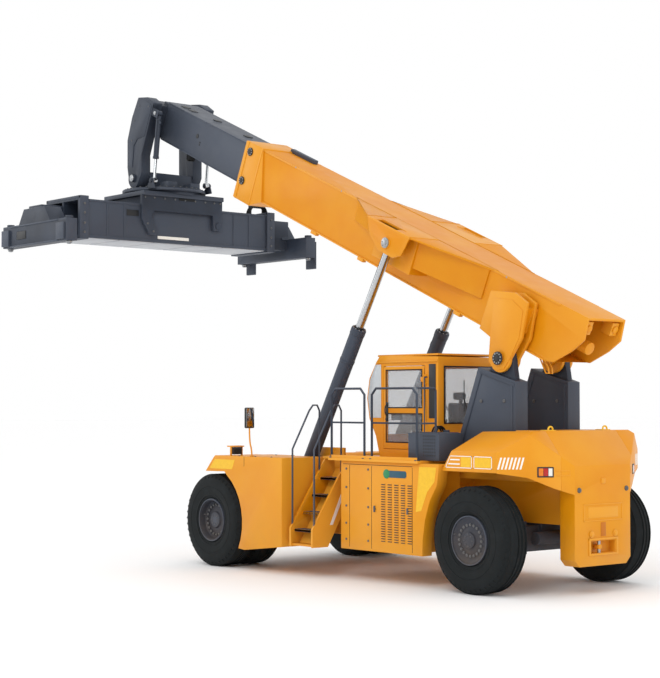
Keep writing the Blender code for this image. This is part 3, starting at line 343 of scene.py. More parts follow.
def enamel(name, colour, tired, roughness, worn):
    """Sprayed and baked enamel over steel: slight orange peel, faded patches, dust low down and
    edges rubbed paler. The peel is drawn 14 mm wide to show."""
    made, tree, shader = new_material(name, roughness, Specular_IOR_Level=0.22, Coat_Weight=0.08,
        Coat_Roughness=0.15)
    patches = ramp(tree, noise(tree, 0.9), 0.42, 0.66, (0, 0, 0, 1), (1, 1, 1, 1))
    base = mixed(tree, patches, linear(colour), linear(tired))
    place = add_node(tree, "TexCoord").outputs["Object"]
    height = add_node(tree, "SeparateXYZ", Vector=place).outputs["Z"]
    low = add_node(tree, "MapRange", Value=height, From_Min=0.3, From_Max=1.3, To_Min=0.30, To_Max=0.0)
    speckle = add_node(tree, "Math", {"operation": "MULTIPLY"}, i0=low.outputs["Result"],
        i1=noise(tree, 0.12, 6.0)).outputs["Value"]
    base = mixed(tree, speckle, base, linear("9A7A4C"))
    edge = add_node(tree, "NewGeometry").outputs["Pointiness"]
    edge = ramp(tree, edge, 0.52, 0.60, (0, 0, 0, 1), (0.6, 0.6, 0.6, 1))
    base = mixed(tree, edge, base, linear(worn))
    tree.links.new(base, shader.inputs["Base Color"])
    rough = add_node(tree, "MapRange", Value=noise(tree, 0.25, 5.0), To_Min=roughness - 0.07,
        To_Max=roughness + 0.12)
    tree.links.new(rough.outputs["Result"], shader.inputs["Roughness"])
    bump = add_node(tree, "Bump", Strength=0.05, Distance=0.004, Height=noise(tree, 0.014, 2.0))
    tree.links.new(bump.outputs["Normal"], shader.inputs["Normal"])
    return made


def rubber(name, colour, dusty, roughness, grain):
    """Moulded rubber, matt, with a fine pebbled skin and dust caught on it."""
    made, tree, shader = new_material(name, roughness, Specular_IOR_Level=0.35)
    patches = ramp(tree, noise(tree, 0.16, 8.0), 0.45, 0.75, (0, 0, 0, 1), (1, 1, 1, 1))
    tree.links.new(mixed(tree, patches, linear(colour), linear(dusty)), shader.inputs["Base Color"])
    bump = add_node(tree, "Bump", Strength=0.25, Distance=0.003, Height=noise(tree, grain, 4.0))
    tree.links.new(bump.outputs["Normal"], shader.inputs["Normal"])
    return made


def steel(name, colour, roughness, stretch=(1, 1, 1)):
    """Bare or plated steel, its roughness streaked along the way it was finished."""
    made, tree, shader = new_material(name, roughness, metallic=1.0)
    grain = noise(tree, 0.03, 6.0, stretch)
    tree.links.new(mixed(tree, grain, linear(colour), linear("8F9296")), shader.inputs["Base Color"])
    rough = add_node(tree, "MapRange", Value=grain, To_Min=roughness * 0.6, To_Max=roughness * 1.6)
    tree.links.new(rough.outputs["Result"], shader.inputs["Roughness"])
    return made


def glazing(name, colour, alpha):
    """Toughened glass with a light tint and a little dust on it."""
    made, tree, shader = new_material(name, 0.04, Alpha=alpha, IOR=1.5)
    dust = ramp(tree, noise(tree, 0.3, 5.0), 0.5, 0.8, linear(colour), linear("A8ADAB"))
    tree.links.new(dust, shader.inputs["Base Color"])
    return made


def moulded(name, colour, deep, roughness):
    """Moulded plastic or a coloured lens with faint ribs; the pale side glass made with it is a painted
    reflection.
    """
    made, tree, shader = new_material(name, roughness, IOR=1.49)
    tree.links.new(mixed(tree, noise(tree, 0.05), linear(colour), linear(deep)),
        shader.inputs["Base Color"])
    bump = add_node(tree, "Bump", Strength=0.08, Distance=0.002, Height=noise(tree, 0.012, 2.0))
    tree.links.new(bump.outputs["Normal"], shader.inputs["Normal"])
    return made


def woven(name, colour, thread):
    """Woven seat cloth: two crossed waves, one for each set of threads, drawn 9 mm apart to show."""
    made, tree, shader = new_material(name, 0.9, Sheen_Weight=0.3)
    place = add_node(tree, "TexCoord").outputs["Object"]
    heights = []
    for direction in ("Y", "Z"):
        wave = add_node(tree, "TexWave", {"bands_direction": direction}, Vector=place, Scale=0.314 / thread)
        heights.append(wave.outputs["Fac"])
    weave = add_node(tree, "Math", {"operation": "MAXIMUM"}, i0=heights[0], i1=heights[1]).outputs["Value"]
    tree.links.new(mixed(tree, weave, linear("17181A"), linear(colour)), shader.inputs["Base Color"])
    bump = add_node(tree, "Bump", Strength=0.4, Distance=0.002, Height=weave)
    tree.links.new(bump.outputs["Normal"], shader.inputs["Normal"])
    return made


ORANGE = enamel("orange_enamel", "DA8902", "DE9208", 0.42, "EAAA40")
SLATE = enamel("slate_enamel", "2B313C", "303846", 0.50, "5C6370")
PALE = enamel("pale_grey_enamel", "9A9EA6", "A8ACB2", 0.5, "C8CCD0")
TYRE = rubber("tyre_rubber", "0A1012", "13191C", 0.82, 0.010)
SEAL = rubber("black_seal_rubber", "0E0F10", "1C1D1E", 0.6, 0.008)
ROD = steel("hard_chromed_rod", "DDE0E2", 0.12, (1, 8, 1))
ZINC = steel("zinc_plated_steel", "B8BABB", 0.32)
IRON = enamel("cast_iron_casting", "4A4E55", "55534F", 0.6, "7A7A7A")
GLASS = glazing("tinted_glass", "AEB6BE", 0.24)
# Painted reflection: the quarter glass is an opaque pale pane whose colour stands for the light it
# reflects.
REFLECTION_GLASS = moulded("painted_reflection_side_glass", "B9C0C6", "C8CED2", 0.08)
MIRROR = steel("mirror_glass", "E8ECEE", 0.05)
CLOTH = woven("seat_cloth", "303338", 0.009)
LENS = moulded("clear_lens", "F2EFE6", "D8D6CE", 0.12)
RED = moulded("red_lens", "C8201A", "8E120E", 0.15)
GREEN = moulded("blank_green_badge", "1E7A4A", "228A55", 0.35)
BLUE = moulded("blank_blue_badge", "1C3F5E", "1F5A66", 0.35)
# Painted shade: a darker orange for the tail slot, in place of the shade inside that recess.
SLOT_SHADE_ORANGE = enamel("shaded_orange_enamel", "B4640A", "BC6C10", 0.5, "C8761A")
AMBER = moulded("amber_lens", "F28A12", "C8640A", 0.15)
WHITE = moulded("white_vinyl", "F6F4EE", "E6E2D8", 0.45)
YELLOW = moulded("yellow_vinyl", "F2C21A", "E0AC12", 0.45)
# Real black parts, and also painted shade in the louvre, vent and perforation openings.
BLACK = moulded("black_plastic_and_opening_shade", "1A1B1D", "26282B", 0.5)


# ---------------------------------------------------------------- camera, floor and light
CAMERA_LENS = 86.9
CAMERA_PLACE = (-22.793, 18.999, 2.884)
CAMERA_TURN = (radians(92.203), 0, radians(-129.854))
FLOOR_SIZE, FLOOR_DROP = 400, 0.001
LIGHTS = (("key", (-16, 22, 20), 1500, 9), ("fill", (-26, -8, 10), 500, 12),
    ("front", (20, 14, 12), 500, 10))
LIGHTS_AIM = Vector((0, 0, 3))


def set_camera():
    camera = bpy.data.cameras.new("camera")
    camera.lens = CAMERA_LENS
    holder = bpy.data.objects.new("camera", camera)
    bpy.context.scene.collection.objects.link(holder)
    holder.location = CAMERA_PLACE
    holder.rotation_euler = CAMERA_TURN
    bpy.context.scene.camera = holder


def set_studio():
    deselect()
    bpy.ops.mesh.primitive_plane_add(size=FLOOR_SIZE, location=(0, 0, -FLOOR_DROP))
    floor = bpy.context.object
    floor.name = "floor"
    floor_material, _, shader = new_material("studio_floor", 0.75)
    shader.inputs["Base Color"].default_value = linear("FFFFFF")
    floor.data.materials.append(floor_material)
    settle(floor)
    world = bpy.data.worlds.new("studio")
    world.use_nodes = True
    sky = world.node_tree.nodes["Background"]
    sky.inputs["Color"].default_value = linear("FFFFFF")
    sky.inputs["Strength"].default_value = 1.0
    bpy.context.scene.world = world
    bpy.context.scene.view_settings.view_transform = "Standard"
    for name, place, power, size in LIGHTS:
        light = bpy.data.lights.new(name, "AREA")
        light.energy = power
        light.size = size
        holder = bpy.data.objects.new(name, light)
        holder.location = place
        holder.rotation_euler = (LIGHTS_AIM - Vector(place)).to_track_quat("-Z", "Y").to_euler()
        bpy.context.scene.collection.objects.link(holder)


set_camera()
set_studio()


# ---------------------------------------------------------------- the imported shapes, dressed
def dressed(node, finish, bevel=0.008, angle=32):
    """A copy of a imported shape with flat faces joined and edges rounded, in its finish."""
    original = NODES[node]
    piece = original.copy()
    piece.data = original.data.copy()
    piece.parent = None
    for key in list(piece.keys()):
        del piece[key]
    bpy.context.collection.objects.link(piece)
    piece.name = node + "_finished"
    edit(piece, ("remove_doubles", {"threshold": MERGE}), ("dissolve_limited", {"angle_limit": radians(1)}))
    edges_rounded(piece, bevel)
    piece.data.name = piece.name
    piece.data.materials.clear()
    piece.data.materials.append(finish)
    smooth(piece, angle)
    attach(piece, original["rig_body"])
    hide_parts(node)
    return piece


FINE_EDGE, PLATE_EDGE = 0.006, 0.009
SLOTS = {row["node"]: row["material_slot"] for row in frame["record"]["subparts"]}
PAINTS = {"orange_paint": ORANGE, "slate_paint": SLATE, "tyre_rubber": TYRE, "chromed_steel": ROD,
    "tinted_glass": GLASS, "seat_fabric": CLOTH, "lamp_lens": LENS, "cast_iron": IRON}
REMADE = ["%s_%s" % (kind, side) for side, _ in SIDES for kind in ("front_tyre_outer", "front_tyre_inner",
    "front_rims", "rear_tyre", "rear_rim", "stairs", "work_lamp", "mirror")] + ["driver_seat", "deck"]
PLAIN = ("windscreen", "rear_window", "right_window", "cab_door_window_upper", "cab_door_window_lower")


def dress_packed_shapes():
    for node, original in NODES.items():
        if node in REMADE:
            continue
        if node in PLAIN:
            original.data.materials.clear()
            original.data.materials.append(PAINTS[SLOTS[node]])
        else:
            dressed(node, PAINTS[SLOTS[node]], FINE_EDGE if "cab" in node or "_rod" in node else PLATE_EDGE)


dress_packed_shapes()


# ---------------------------------------------------------------- tyres and rims
TYRE_RADIUS = (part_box("rear_tyre_left")[1].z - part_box("rear_tyre_left")[0].z) / 2
TYRE_HALF = (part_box("rear_tyre_left")[1].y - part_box("rear_tyre_left")[0].y) / 2
RIM_RADIUS = 0.372
TREAD_DEPTH = 0.022
TREAD_BARS = 44
BAR_HALF, BAR_INNER, BAR_OUTER, BAR_DROP = 0.014, 0.092, 0.022, 0.052
TWIN_SPACING = 0.57


def tyre(name, node, body, y, side):
    """A bias-ply industrial tyre: bulged sidewalls with moulded rings, a bead, and a ribbed
    tread with a bar across each shoulder."""
    half, top = TYRE_HALF, TYRE_RADIUS - TREAD_DEPTH
    wall = [(RIM_RADIUS + 0.002, half - 0.055), (0.40, half - 0.030), (0.43, half - 0.022),
        (0.435, half - 0.010), (0.452, half - 0.010), (0.457, half - 0.014), (0.52, half - 0.004),
        (0.575, half), (0.579, half - 0.005), (0.586, half - 0.005), (0.59, half), (0.66, half - 0.003),
        (0.70, half - 0.010), (0.735, half - 0.024), (0.765, half - 0.045), (top, half - 0.085)]
    crown = []
    for groove in (0.62, 0.30, 0.0):
        at = half * groove
        crown += [(TYRE_RADIUS - 0.001, at + 0.020), (top, at + 0.008)]
    outline = wall[:-1] + [(top - 0.004, half - 0.065), (TYRE_RADIUS - 0.004, half - 0.082)] + crown
    mirror = [(radius, -place) for radius, place in reversed(outline)]
    shapes = [turned(outline + mirror + [outline[0]], "y", 96)]
    low, high = TYRE_RADIUS - 0.020, TYRE_RADIUS - 0.005
    bar = block((-BAR_HALF, half - BAR_INNER, low), (BAR_HALF, half - BAR_OUTER, high), 0)
    other = block((-BAR_HALF, -half + BAR_OUTER, low), (BAR_HALF, -half + BAR_INNER, high), 0)
    for shape in (bar, other):
        for vertex in shape.data.vertices:
            edge = (abs(vertex.co.y) - (half - BAR_INNER)) / 0.07
            vertex.co.z -= BAR_DROP * edge
    shapes += ring(joined("bars", [bar, other]), TREAD_BARS, (0, 0, 0))
    piece = joined(name, shapes)
    piece.data.transform(Matrix.Diagonal((1, side, 1, 1)))
    piece.data.transform(Matrix.Translation((AXLE_X if "front" in node else REAR_AXLE_X, y, AXLE_Z)))
    if side < 0:
        faces_outward(piece)
    outfit(name, [piece], body, TYRE, 40)
    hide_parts(node)
    return piece


def rim(name, node, body, x, y, side):
    """A three-piece steel rim: gutter, lock ring, dished disc with a ring of nuts, and a hub."""
    half = TYRE_HALF
    if "front" in node:
        profile = [(0, half - 0.10), (0.13, half - 0.10), (0.15, half - 0.13), (0.20, half - 0.135),
            (0.24, half - 0.15), (0.30, half - 0.145), (0.322, half - 0.12), (0.332, half - 0.07),
            (0.340, half - 0.035), (0.350, half - 0.034), (0.352, half - 0.020), (0.362, half - 0.012),
            (RIM_RADIUS, half - 0.016), (RIM_RADIUS, half - 0.06), (RIM_RADIUS - 0.012, half - 0.07),
            (RIM_RADIUS - 0.012, -half + 0.05), (RIM_RADIUS, -half + 0.03)]
        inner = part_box(node)[0].y if side > 0 else -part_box(node)[1].y
        profile += [(RIM_RADIUS - 0.002, inner - abs(y) + 0.22), (0.30, inner - abs(y) + 0.20),
            (0.20, inner - abs(y) + 0.15), (0.18, inner - abs(y)), (0, inner - abs(y))]
        disc = half - 0.140
    else:
        profile = [(0, half - 0.012), (0.10, half - 0.012), (0.118, half - 0.020), (0.125, half - 0.045),
            (0.185, half - 0.050), (0.20, half - 0.058), (0.27, half - 0.062), (0.305, half - 0.055),
            (0.325, half - 0.040), (0.340, half - 0.036), (0.350, half - 0.034), (0.352, half - 0.020),
            (0.362, half - 0.012), (RIM_RADIUS, half - 0.016), (RIM_RADIUS, half - 0.06),
            (RIM_RADIUS - 0.012, half - 0.07), (RIM_RADIUS - 0.012, -half + 0.07),
            (RIM_RADIUS, -half + 0.06), (RIM_RADIUS, -half + 0.012), (0.355, -half + 0.02),
            (0.33, -half + 0.06), (0.32, -0.03), (0, -0.02)]
        disc = half - 0.062
    shapes = [turned(profile, "y", 72)]
    nuts = ring(nut((0.235 if "rear" in node else 0.262, disc + 0.010, 0), 0.016, 0.028), 20, (0, 0, 0))
    studs = ring(drum((0.085, half - (0.096 if "front" in node else 0.006), 0), 0.009, 0.012, steps=12), 8,
        (0, 0, 0))
    valve = [drum((0.30, disc + 0.028, 0.08), 0.008, 0.07, steps=12)]
    moved(shapes + nuts + studs + valve, Matrix.Translation((x, y, AXLE_Z))
        @ Matrix.Diagonal((1, side, 1, 1)))
    body_piece = joined(name, shapes)
    fastenings = joined(name + "_nuts", nuts + studs + valve)
    faces_outward(body_piece)
    faces_outward(fastenings)
    outfit(name, [body_piece], body, SLATE, 30)
    outfit(name + "_nuts", [fastenings], body, IRON, 40)
    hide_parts(node)


def make_wheels():
    for name, side in SIDES:
        front = "front_wheels_" + name
        tyre("front_outer_tread_" + name, "front_tyre_outer_" + name, front, side * WHEEL_Y, side)
        tyre("front_inner_tread_" + name, "front_tyre_inner_" + name, front,
            side * (WHEEL_Y - TWIN_SPACING), side)
        rim("front_wheel_disc_" + name, "front_rims_" + name, front, AXLE_X, side * WHEEL_Y, side)
        rear = "rear_wheel_" + name
        tyre("rear_tread_" + name, "rear_tyre_" + name, rear, side * REAR_WHEEL_Y, side)
        rim("rear_wheel_disc_" + name, "rear_rim_" + name, rear, REAR_AXLE_X, side * REAR_WHEEL_Y, side)


make_wheels()

# ---------------------------------------------------------------- boom, drawn in its own directions
BOOM_SIDE = 0.43
BOOM_LOW, BOOM_TOP = 0.215, 1.145
BOOM_TAIL, COLLAR_REAR = -1.05, 7.46
COLLAR_SIDE = 0.47
LIFT_PIN = (2.827, 0.882)
INNER_SIDE = 0.36
INNER_LOW, INNER_TOP = 0.31, 1.09
TILT_PIN = (11.03, -0.574)
CAP_DEPTH = 0.018


def bolted_cap(covers, bolts, centre, radius, count, size):
    """Adds a round cover across the machine, and the ring of bolts that holds it."""
    covers.append(drum(centre, radius, CAP_DEPTH, bevel=0.003, steps=40))
    covers.append(drum(centre, radius * 0.45, CAP_DEPTH * 1.7, bevel=0.003, steps=32))
    spoke = Vector((radius * 0.74, 0, 0))
    bolts.extend(ring(nut(Vector(centre) + spoke, size, CAP_DEPTH * 1.9), count, centre))


def make_boom_trim():
    strips, tabs, caps, bolts, dark = [], [], [], [], []
    for _, side in SIDES:
        edge = side * BOOM_SIDE
        for low, high in ((BOOM_LOW + 0.003, BOOM_LOW + 0.030), (BOOM_TOP - 0.030, BOOM_TOP - 0.003)):
            strips.append(block((-0.60, edge, low), (COLLAR_REAR + 0.01, edge + side * 0.014, high), 0.004))
        for along in (1.35, 3.95, 5.35):
            tabs.append(block((along, edge - 0.05, BOOM_LOW - 0.045),
                (along + 0.16, edge + 0.03, BOOM_LOW + 0.02)))
        for above, along in ((1.00, 7.80), (0.42, 7.84)):
            bolted_cap(dark, bolts, (along, side * (COLLAR_SIDE + 0.010), above), 0.078, 8, 0.011)
        bolted_cap(dark, bolts, (0, side * 0.776, 0), 0.105, 10, 0.013)
        bolted_cap(caps, caps, (LIFT_PIN[0], side * 1.108, LIFT_PIN[1]), 0.088, 6, 0.010)
        strips.append(
            upright([(COLLAR_REAR - 0.02, 0.06), (COLLAR_REAR + 0.02, 0.06), (COLLAR_REAR + 0.02, 1.16),
            (COLLAR_REAR - 0.02, 1.16)], side * (COLLAR_SIDE + 0.002), 0.014, 0.003))
        nose = [(7.90, 0.06), (7.985, 0.06), (7.985, 1.165), (7.90, 1.165)]
        strips.append(upright(nose, side * (COLLAR_SIDE + 0.004), 0.012, 0.003))
        ear = [(0.34, 0.30), (0.20, -0.13), (0.0, -0.20), (-0.15, -0.12), (-0.20, 0.05), (-0.26, 0.45),
            (-0.17, 0.86), (0.10, 0.93), (0.48, 0.82)]
        strips.append(upright(ear, side * 0.730, 0.012, 0.004))
        for along in (0.62, 1.9, 3.6, 5.0, 6.4):
            bolts.append(nut((along, edge + side * 0.012, BOOM_TOP - 0.016), 0.011, 0.012))
        slot_rim = [(2.66, side * 0.865), (3.30, side * 0.865), (3.30, side * 0.885), (2.66, side * 0.885)]
        strips.append(plate(slot_rim, 0.014, Matrix.Translation((0, 0, BOOM_TOP + 0.008)), 0.002))
    outfit_all("boom", "",
        ("boom_trim", on_boom(strips + tabs), ORANGE, "orange_paint"),
        ("boom_bolted_covers", on_boom(dark), BLACK, "slate_paint"),
        ("boom_cover_bolts", on_boom(bolts), ZINC, "slate_paint"),
        ("lift_pin_caps", on_boom(caps), ZINC, "chromed_steel"))
    tray = [block((6.75, -0.33, BOOM_TOP - 0.004), (7.52, -0.23, BOOM_TOP + 0.075), 0.012)]
    outfit("boom_hose_guard", on_boom(tray), "boom", SLATE)
    tail = []
    for _, side in SIDES:
        tail.append(block((BOOM_TAIL - 0.10, side * 0.22, 0.86), (BOOM_TAIL + 0.1, side * 0.37, 1.07),
            0.012))
        tail.append(drum((BOOM_TAIL - 0.10, side * 0.295, 0.965), 0.055, 0.05, "x"))
    tail.append(drum((BOOM_TAIL + 0.25, 0, 0.60), 0.10, 0.5, "x", 0.01))
    outfit("boom_tail_rollers", on_boom(tail), "boom", ORANGE)
    loops = [hose([(-0.40, y, 0.25), (-0.62, y, 0.10), (-0.66, y, 0.03), (-0.60, y, 0.01),
        (-0.30, y, 0.25)], 0.012, False) for y in (0.20, 0.28)]
    outfit("boom_foot_hoses", on_boom(loops), "boom", ORANGE)


def make_inner_boom_trim():
    strips, dark, caps, bolts, hoses = [], [], [], [], []
    for _, side in SIDES:
        edge = side * INNER_SIDE
        for low, high in ((INNER_LOW + 0.003, INNER_LOW + 0.024), (INNER_TOP - 0.024, INNER_TOP - 0.003)):
            strips.append(block((8.02, edge, low), (10.94, edge + side * 0.009, high), 0.003))
        dark.append(drum((9.75, edge + side * 0.002, 0.74), 0.045, 0.010, steps=24))
        dark.append(drum((9.62, edge + side * 0.002, 0.60), 0.018, 0.010, steps=16))
        dark.append(drum((9.62, edge + side * 0.002, 0.65), 0.018, 0.010, steps=16))
        bolted_cap(caps, caps, (TILT_PIN[0], side * 0.797, TILT_PIN[1]), 0.070, 4, 0.009)
        flange = [(10.99, 0.34), (10.99, 0.98), (11.20, 1.02), (11.48, 0.93), (11.54, 0.55), (11.51, 0.10),
            (11.30, -0.38), (11.16, -0.38), (11.28, 0.04), (11.22, 0.20)]
        strips.append(upright(flange, side * 0.754, 0.012, 0.003))
        bolted_cap(caps, caps, (10.83, side * 0.745, 0.866), 0.040, 4, 0.006)
        for along, above in ((11.08, 0.93), (11.42, 0.86), (11.47, 0.52), (11.40, 0.12)):
            bolts.append(nut((along, side * 0.763, above), 0.013, 0.016))
    for along in (8.6, 9.7):
        dark.append(block((along, -0.11, INNER_TOP - 0.002), (along + 0.14, 0.03, INNER_TOP + 0.014),
            0.006))
    for along in (10.35, 10.62):
        dark.append(block((along, 0.05, INNER_TOP - 0.002), (along + 0.16, 0.21, INNER_TOP + 0.010), 0.006))
    for step in range(5):
        y = -0.26 + step * 0.035
        hoses.append(
            hose([(9.2, y, INNER_LOW - 0.015), (10.0, y, INNER_LOW - 0.02),
            (10.5, y - 0.02, INNER_LOW - 0.03), (10.75, y - 0.08, 0.16), (10.72, y - 0.10, -0.02),
            (10.60, y - 0.06, 0.05), (10.62, y - 0.02, INNER_LOW + 0.01)], 0.013))
    clamps = [block((along, -0.29, INNER_LOW - 0.034), (along + 0.05, -0.09, INNER_LOW + 0.004))
        for along in (9.25, 9.9)]
    outfit_all("inner_boom", "",
        ("inner_boom_trim", on_boom(strips), SLATE, "slate_paint"),
        ("inner_boom_pads", on_boom(dark + clamps), BLACK, "slate_paint"),
        ("tilt_pin_caps", on_boom(caps), ZINC, "chromed_steel"),
        ("boom_head_bolts", on_boom(bolts), IRON, "slate_paint"),
        ("boom_head_hoses", on_boom(hoses), SEAL, "tyre_rubber"))


make_boom_trim()
make_inner_boom_trim()


# ---------------------------------------------------------------- cylinders
def make_cylinder_trim():
    """Glands, ports, feed pipes and wipers on each lift barrel, its foot pin, and the dampers' fittings."""
    for name, side in SIDES:
        joint = JOINTS["lift_barrel_" + name]
        foot = Vector(joint["pos_m"])
        axis = Vector(JOINTS["lift_rod_" + name]["axis"])
        lay = Matrix.Translation(foot) @ Vector((0, 0, 1)).rotation_difference(axis).to_matrix().to_4x4()
        gland = [drum((0, 0, 3.150), 0.131, 0.10, "z", 0.005, 40),
            drum((0, 0, 2.60), 0.131, 0.05, "z", 0.006, 40),
            drum((0, 0, 0.30), 0.134, 0.06, "z", 0.006, 40)]
        ports = [block((0.10, -0.04, 0.34), (0.17, 0.04, 0.44)),
            block((0.10, -0.03, 2.86), (0.155, 0.03, 2.94))]
        pipe = [hose([(0.15, 0.0, 0.42), (0.165, 0.0, 0.60), (0.150, 0.0, 1.6), (0.150, 0.0, 2.7),
            (0.140, 0.0, 2.88)], 0.011)]
        bolts = ring(nut((0.105, 0, 3.222), 0.010, 0.014, "z"), 10, (0, 0, 0), "Z")
        wiper = [drum((0, 0, 3.224), 0.086, 0.014, "z", 0.003, 32)]
        pin_y = side * 0.055
        cap = []
        bolted_cap(cap, cap, (0, pin_y + side * 0.025, 0), 0.075, 6, 0.009)
        moved(gland + ports + pipe + bolts + wiper, lay)
        body = "lift_barrel_" + name
        outfit_all(body, name,
            ("lift_barrel_fittings_", gland + ports + pipe, SLATE, "slate_paint"),
            ("lift_gland_bolts_", bolts, ZINC, "slate_paint"),
            ("lift_rod_wiper_", wiper, SEAL, "tyre_rubber"))
        moved(cap, Matrix.Translation((foot.x, side * 1.165, foot.z)))
        outfit("foot_pin_cap_" + name, cap, "chassis", ZINC)
        joint = JOINTS["damper_barrel_" + name]
        axis = Vector(JOINTS["damper_rod_" + name]["axis"])
        lay = (Matrix.Translation(Vector(joint["pos_m"]))
            @ Vector((0, 0, 1)).rotation_difference(axis).to_matrix().to_4x4())
        gland = [drum((0, 0, 0.885), 0.062, 0.05, "z", 0.005, 32),
            drum((0, 0, 0.12), 0.060, 0.03, "z", 0.004, 32),
            block((0.045, -0.02, 0.16), (0.080, 0.02, 0.21), 0.004)]
        moved(gland, lay)
        outfit("damper_fittings_" + name, gland, "damper_barrel_" + name, SLATE)


make_cylinder_trim()

# ---------------------------------------------------------------- rotator and spreader
BEAM_LOW_CORNER, BEAM_HIGH_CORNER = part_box("spreader_beam")
BEAM_X = BEAM_HIGH_CORNER.x - TILT.x
BEAM_END = BEAM_HIGH_CORNER.y
BEAM_TOP, BEAM_LOW = BEAM_HIGH_CORNER.z, BEAM_LOW_CORNER.z
SLEW_TOP = TILT.z - 0.215
SLEW_LOW = SLEW_TOP - 0.07
SLEW_RADIUS = 0.86
END_TOP = TILT.z - 1.07
END_LOW = TILT.z - 1.50
END_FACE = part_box("spreader_end_left")[1].y


def make_rotator_trim():
    centre = (TILT.x, 0, SLEW_TOP)
    bolts = []
    bolts += ring(nut((TILT.x + SLEW_RADIUS - 0.05, 0, SLEW_TOP + 0.010), 0.015, 0.022, "z"), 36, centre,
        "Z")
    lip = turned([(SLEW_RADIUS - 0.012, 0.000), (SLEW_RADIUS, 0.004), (SLEW_RADIUS, 0.026),
        (SLEW_RADIUS - 0.012, 0.030), (SLEW_RADIUS - 0.012, 0.000)], "z", 96)
    lip.data.transform(Matrix.Translation((TILT.x, 0, SLEW_LOW + 0.02)))
    motors, hoses = [], []
    for x, y in ((0.52, 0.30), (0.52, -0.30)):
        motors += [drum((TILT.x + x, y, SLEW_TOP + 0.11), 0.085, 0.22, "z", 0.012),
            drum((TILT.x + x, y, SLEW_TOP + 0.25), 0.060, 0.08, "z", 0.010),
            block((TILT.x + x - 0.05, y - 0.07, SLEW_TOP + 0.23),
            (TILT.x + x + 0.05, y + 0.07, SLEW_TOP + 0.30))]
        hoses.append(hose([(TILT.x + x, y, SLEW_TOP + 0.29), (TILT.x + x - 0.06, y, SLEW_TOP + 0.36),
            (TILT.x + x - 0.2, y * 0.8, SLEW_TOP + 0.30), (TILT.x + x - 0.27, y * 0.6, SLEW_TOP + 0.1)],
            0.014))
    blocks = []
    for _, side in SIDES:
        blocks.append(block((TILT.x - 0.72, side * 0.16, SLEW_TOP - 0.002),
            (TILT.x - 0.44, side * 0.40, SLEW_TOP + 0.12), 0.012))
        bolted_cap(blocks, bolts, (TILT.x - 0.59, side * 0.728, TILT.z - 0.10), 0.045, 4, 0.006)
    outfit_all("rotator", "",
        ("slewing_ring_bolts", bolts, IRON, "slate_paint"),
        ("slewing_motors", motors + blocks + [lip], SLATE, "slate_paint"),
        ("slewing_hoses", hoses, SEAL, "tyre_rubber"))


def make_carriage_trim():
    plates, bolts, dark = [], [], []
    top = SLEW_LOW - 0.045
    for end in (-1, 1):
        face = TILT.x + end * 0.691
        for y in (0.92, 0.70, 0.45, 0.20, -0.05, -0.30, -0.55, -0.78, -0.93):
            bolts.append(nut((face + end * 0.008, y, top - 0.13), 0.014, 0.018, "x"))
        for y, z in ((0.86, -0.40), (0.72, -0.55), (-0.90, -0.30), (-0.85, -0.38)):
            bolts.append(nut((face + end * 0.008, y, BEAM_TOP + z), 0.016, 0.018, "x"))
        plates.append(block((face, -0.985, top - 0.045), (face + end * 0.045, 0.985, top - 0.012), 0.005))
        dark.append(block((face, -0.28, top - 0.14), (face + end * 0.012, 0.10, top - 0.075), 0.012))
        plates.append(drum((face, -0.89, BEAM_TOP - 0.35), 0.075, 0.05, "x", 0.006))
    outfit_all("spreader_carriage", "",
        ("carriage_flanges", plates, SLATE, "slate_paint"),
        ("carriage_bolts", bolts, IRON, "slate_paint"),
        ("carriage_grommets", dark, SEAL, "slate_paint"))


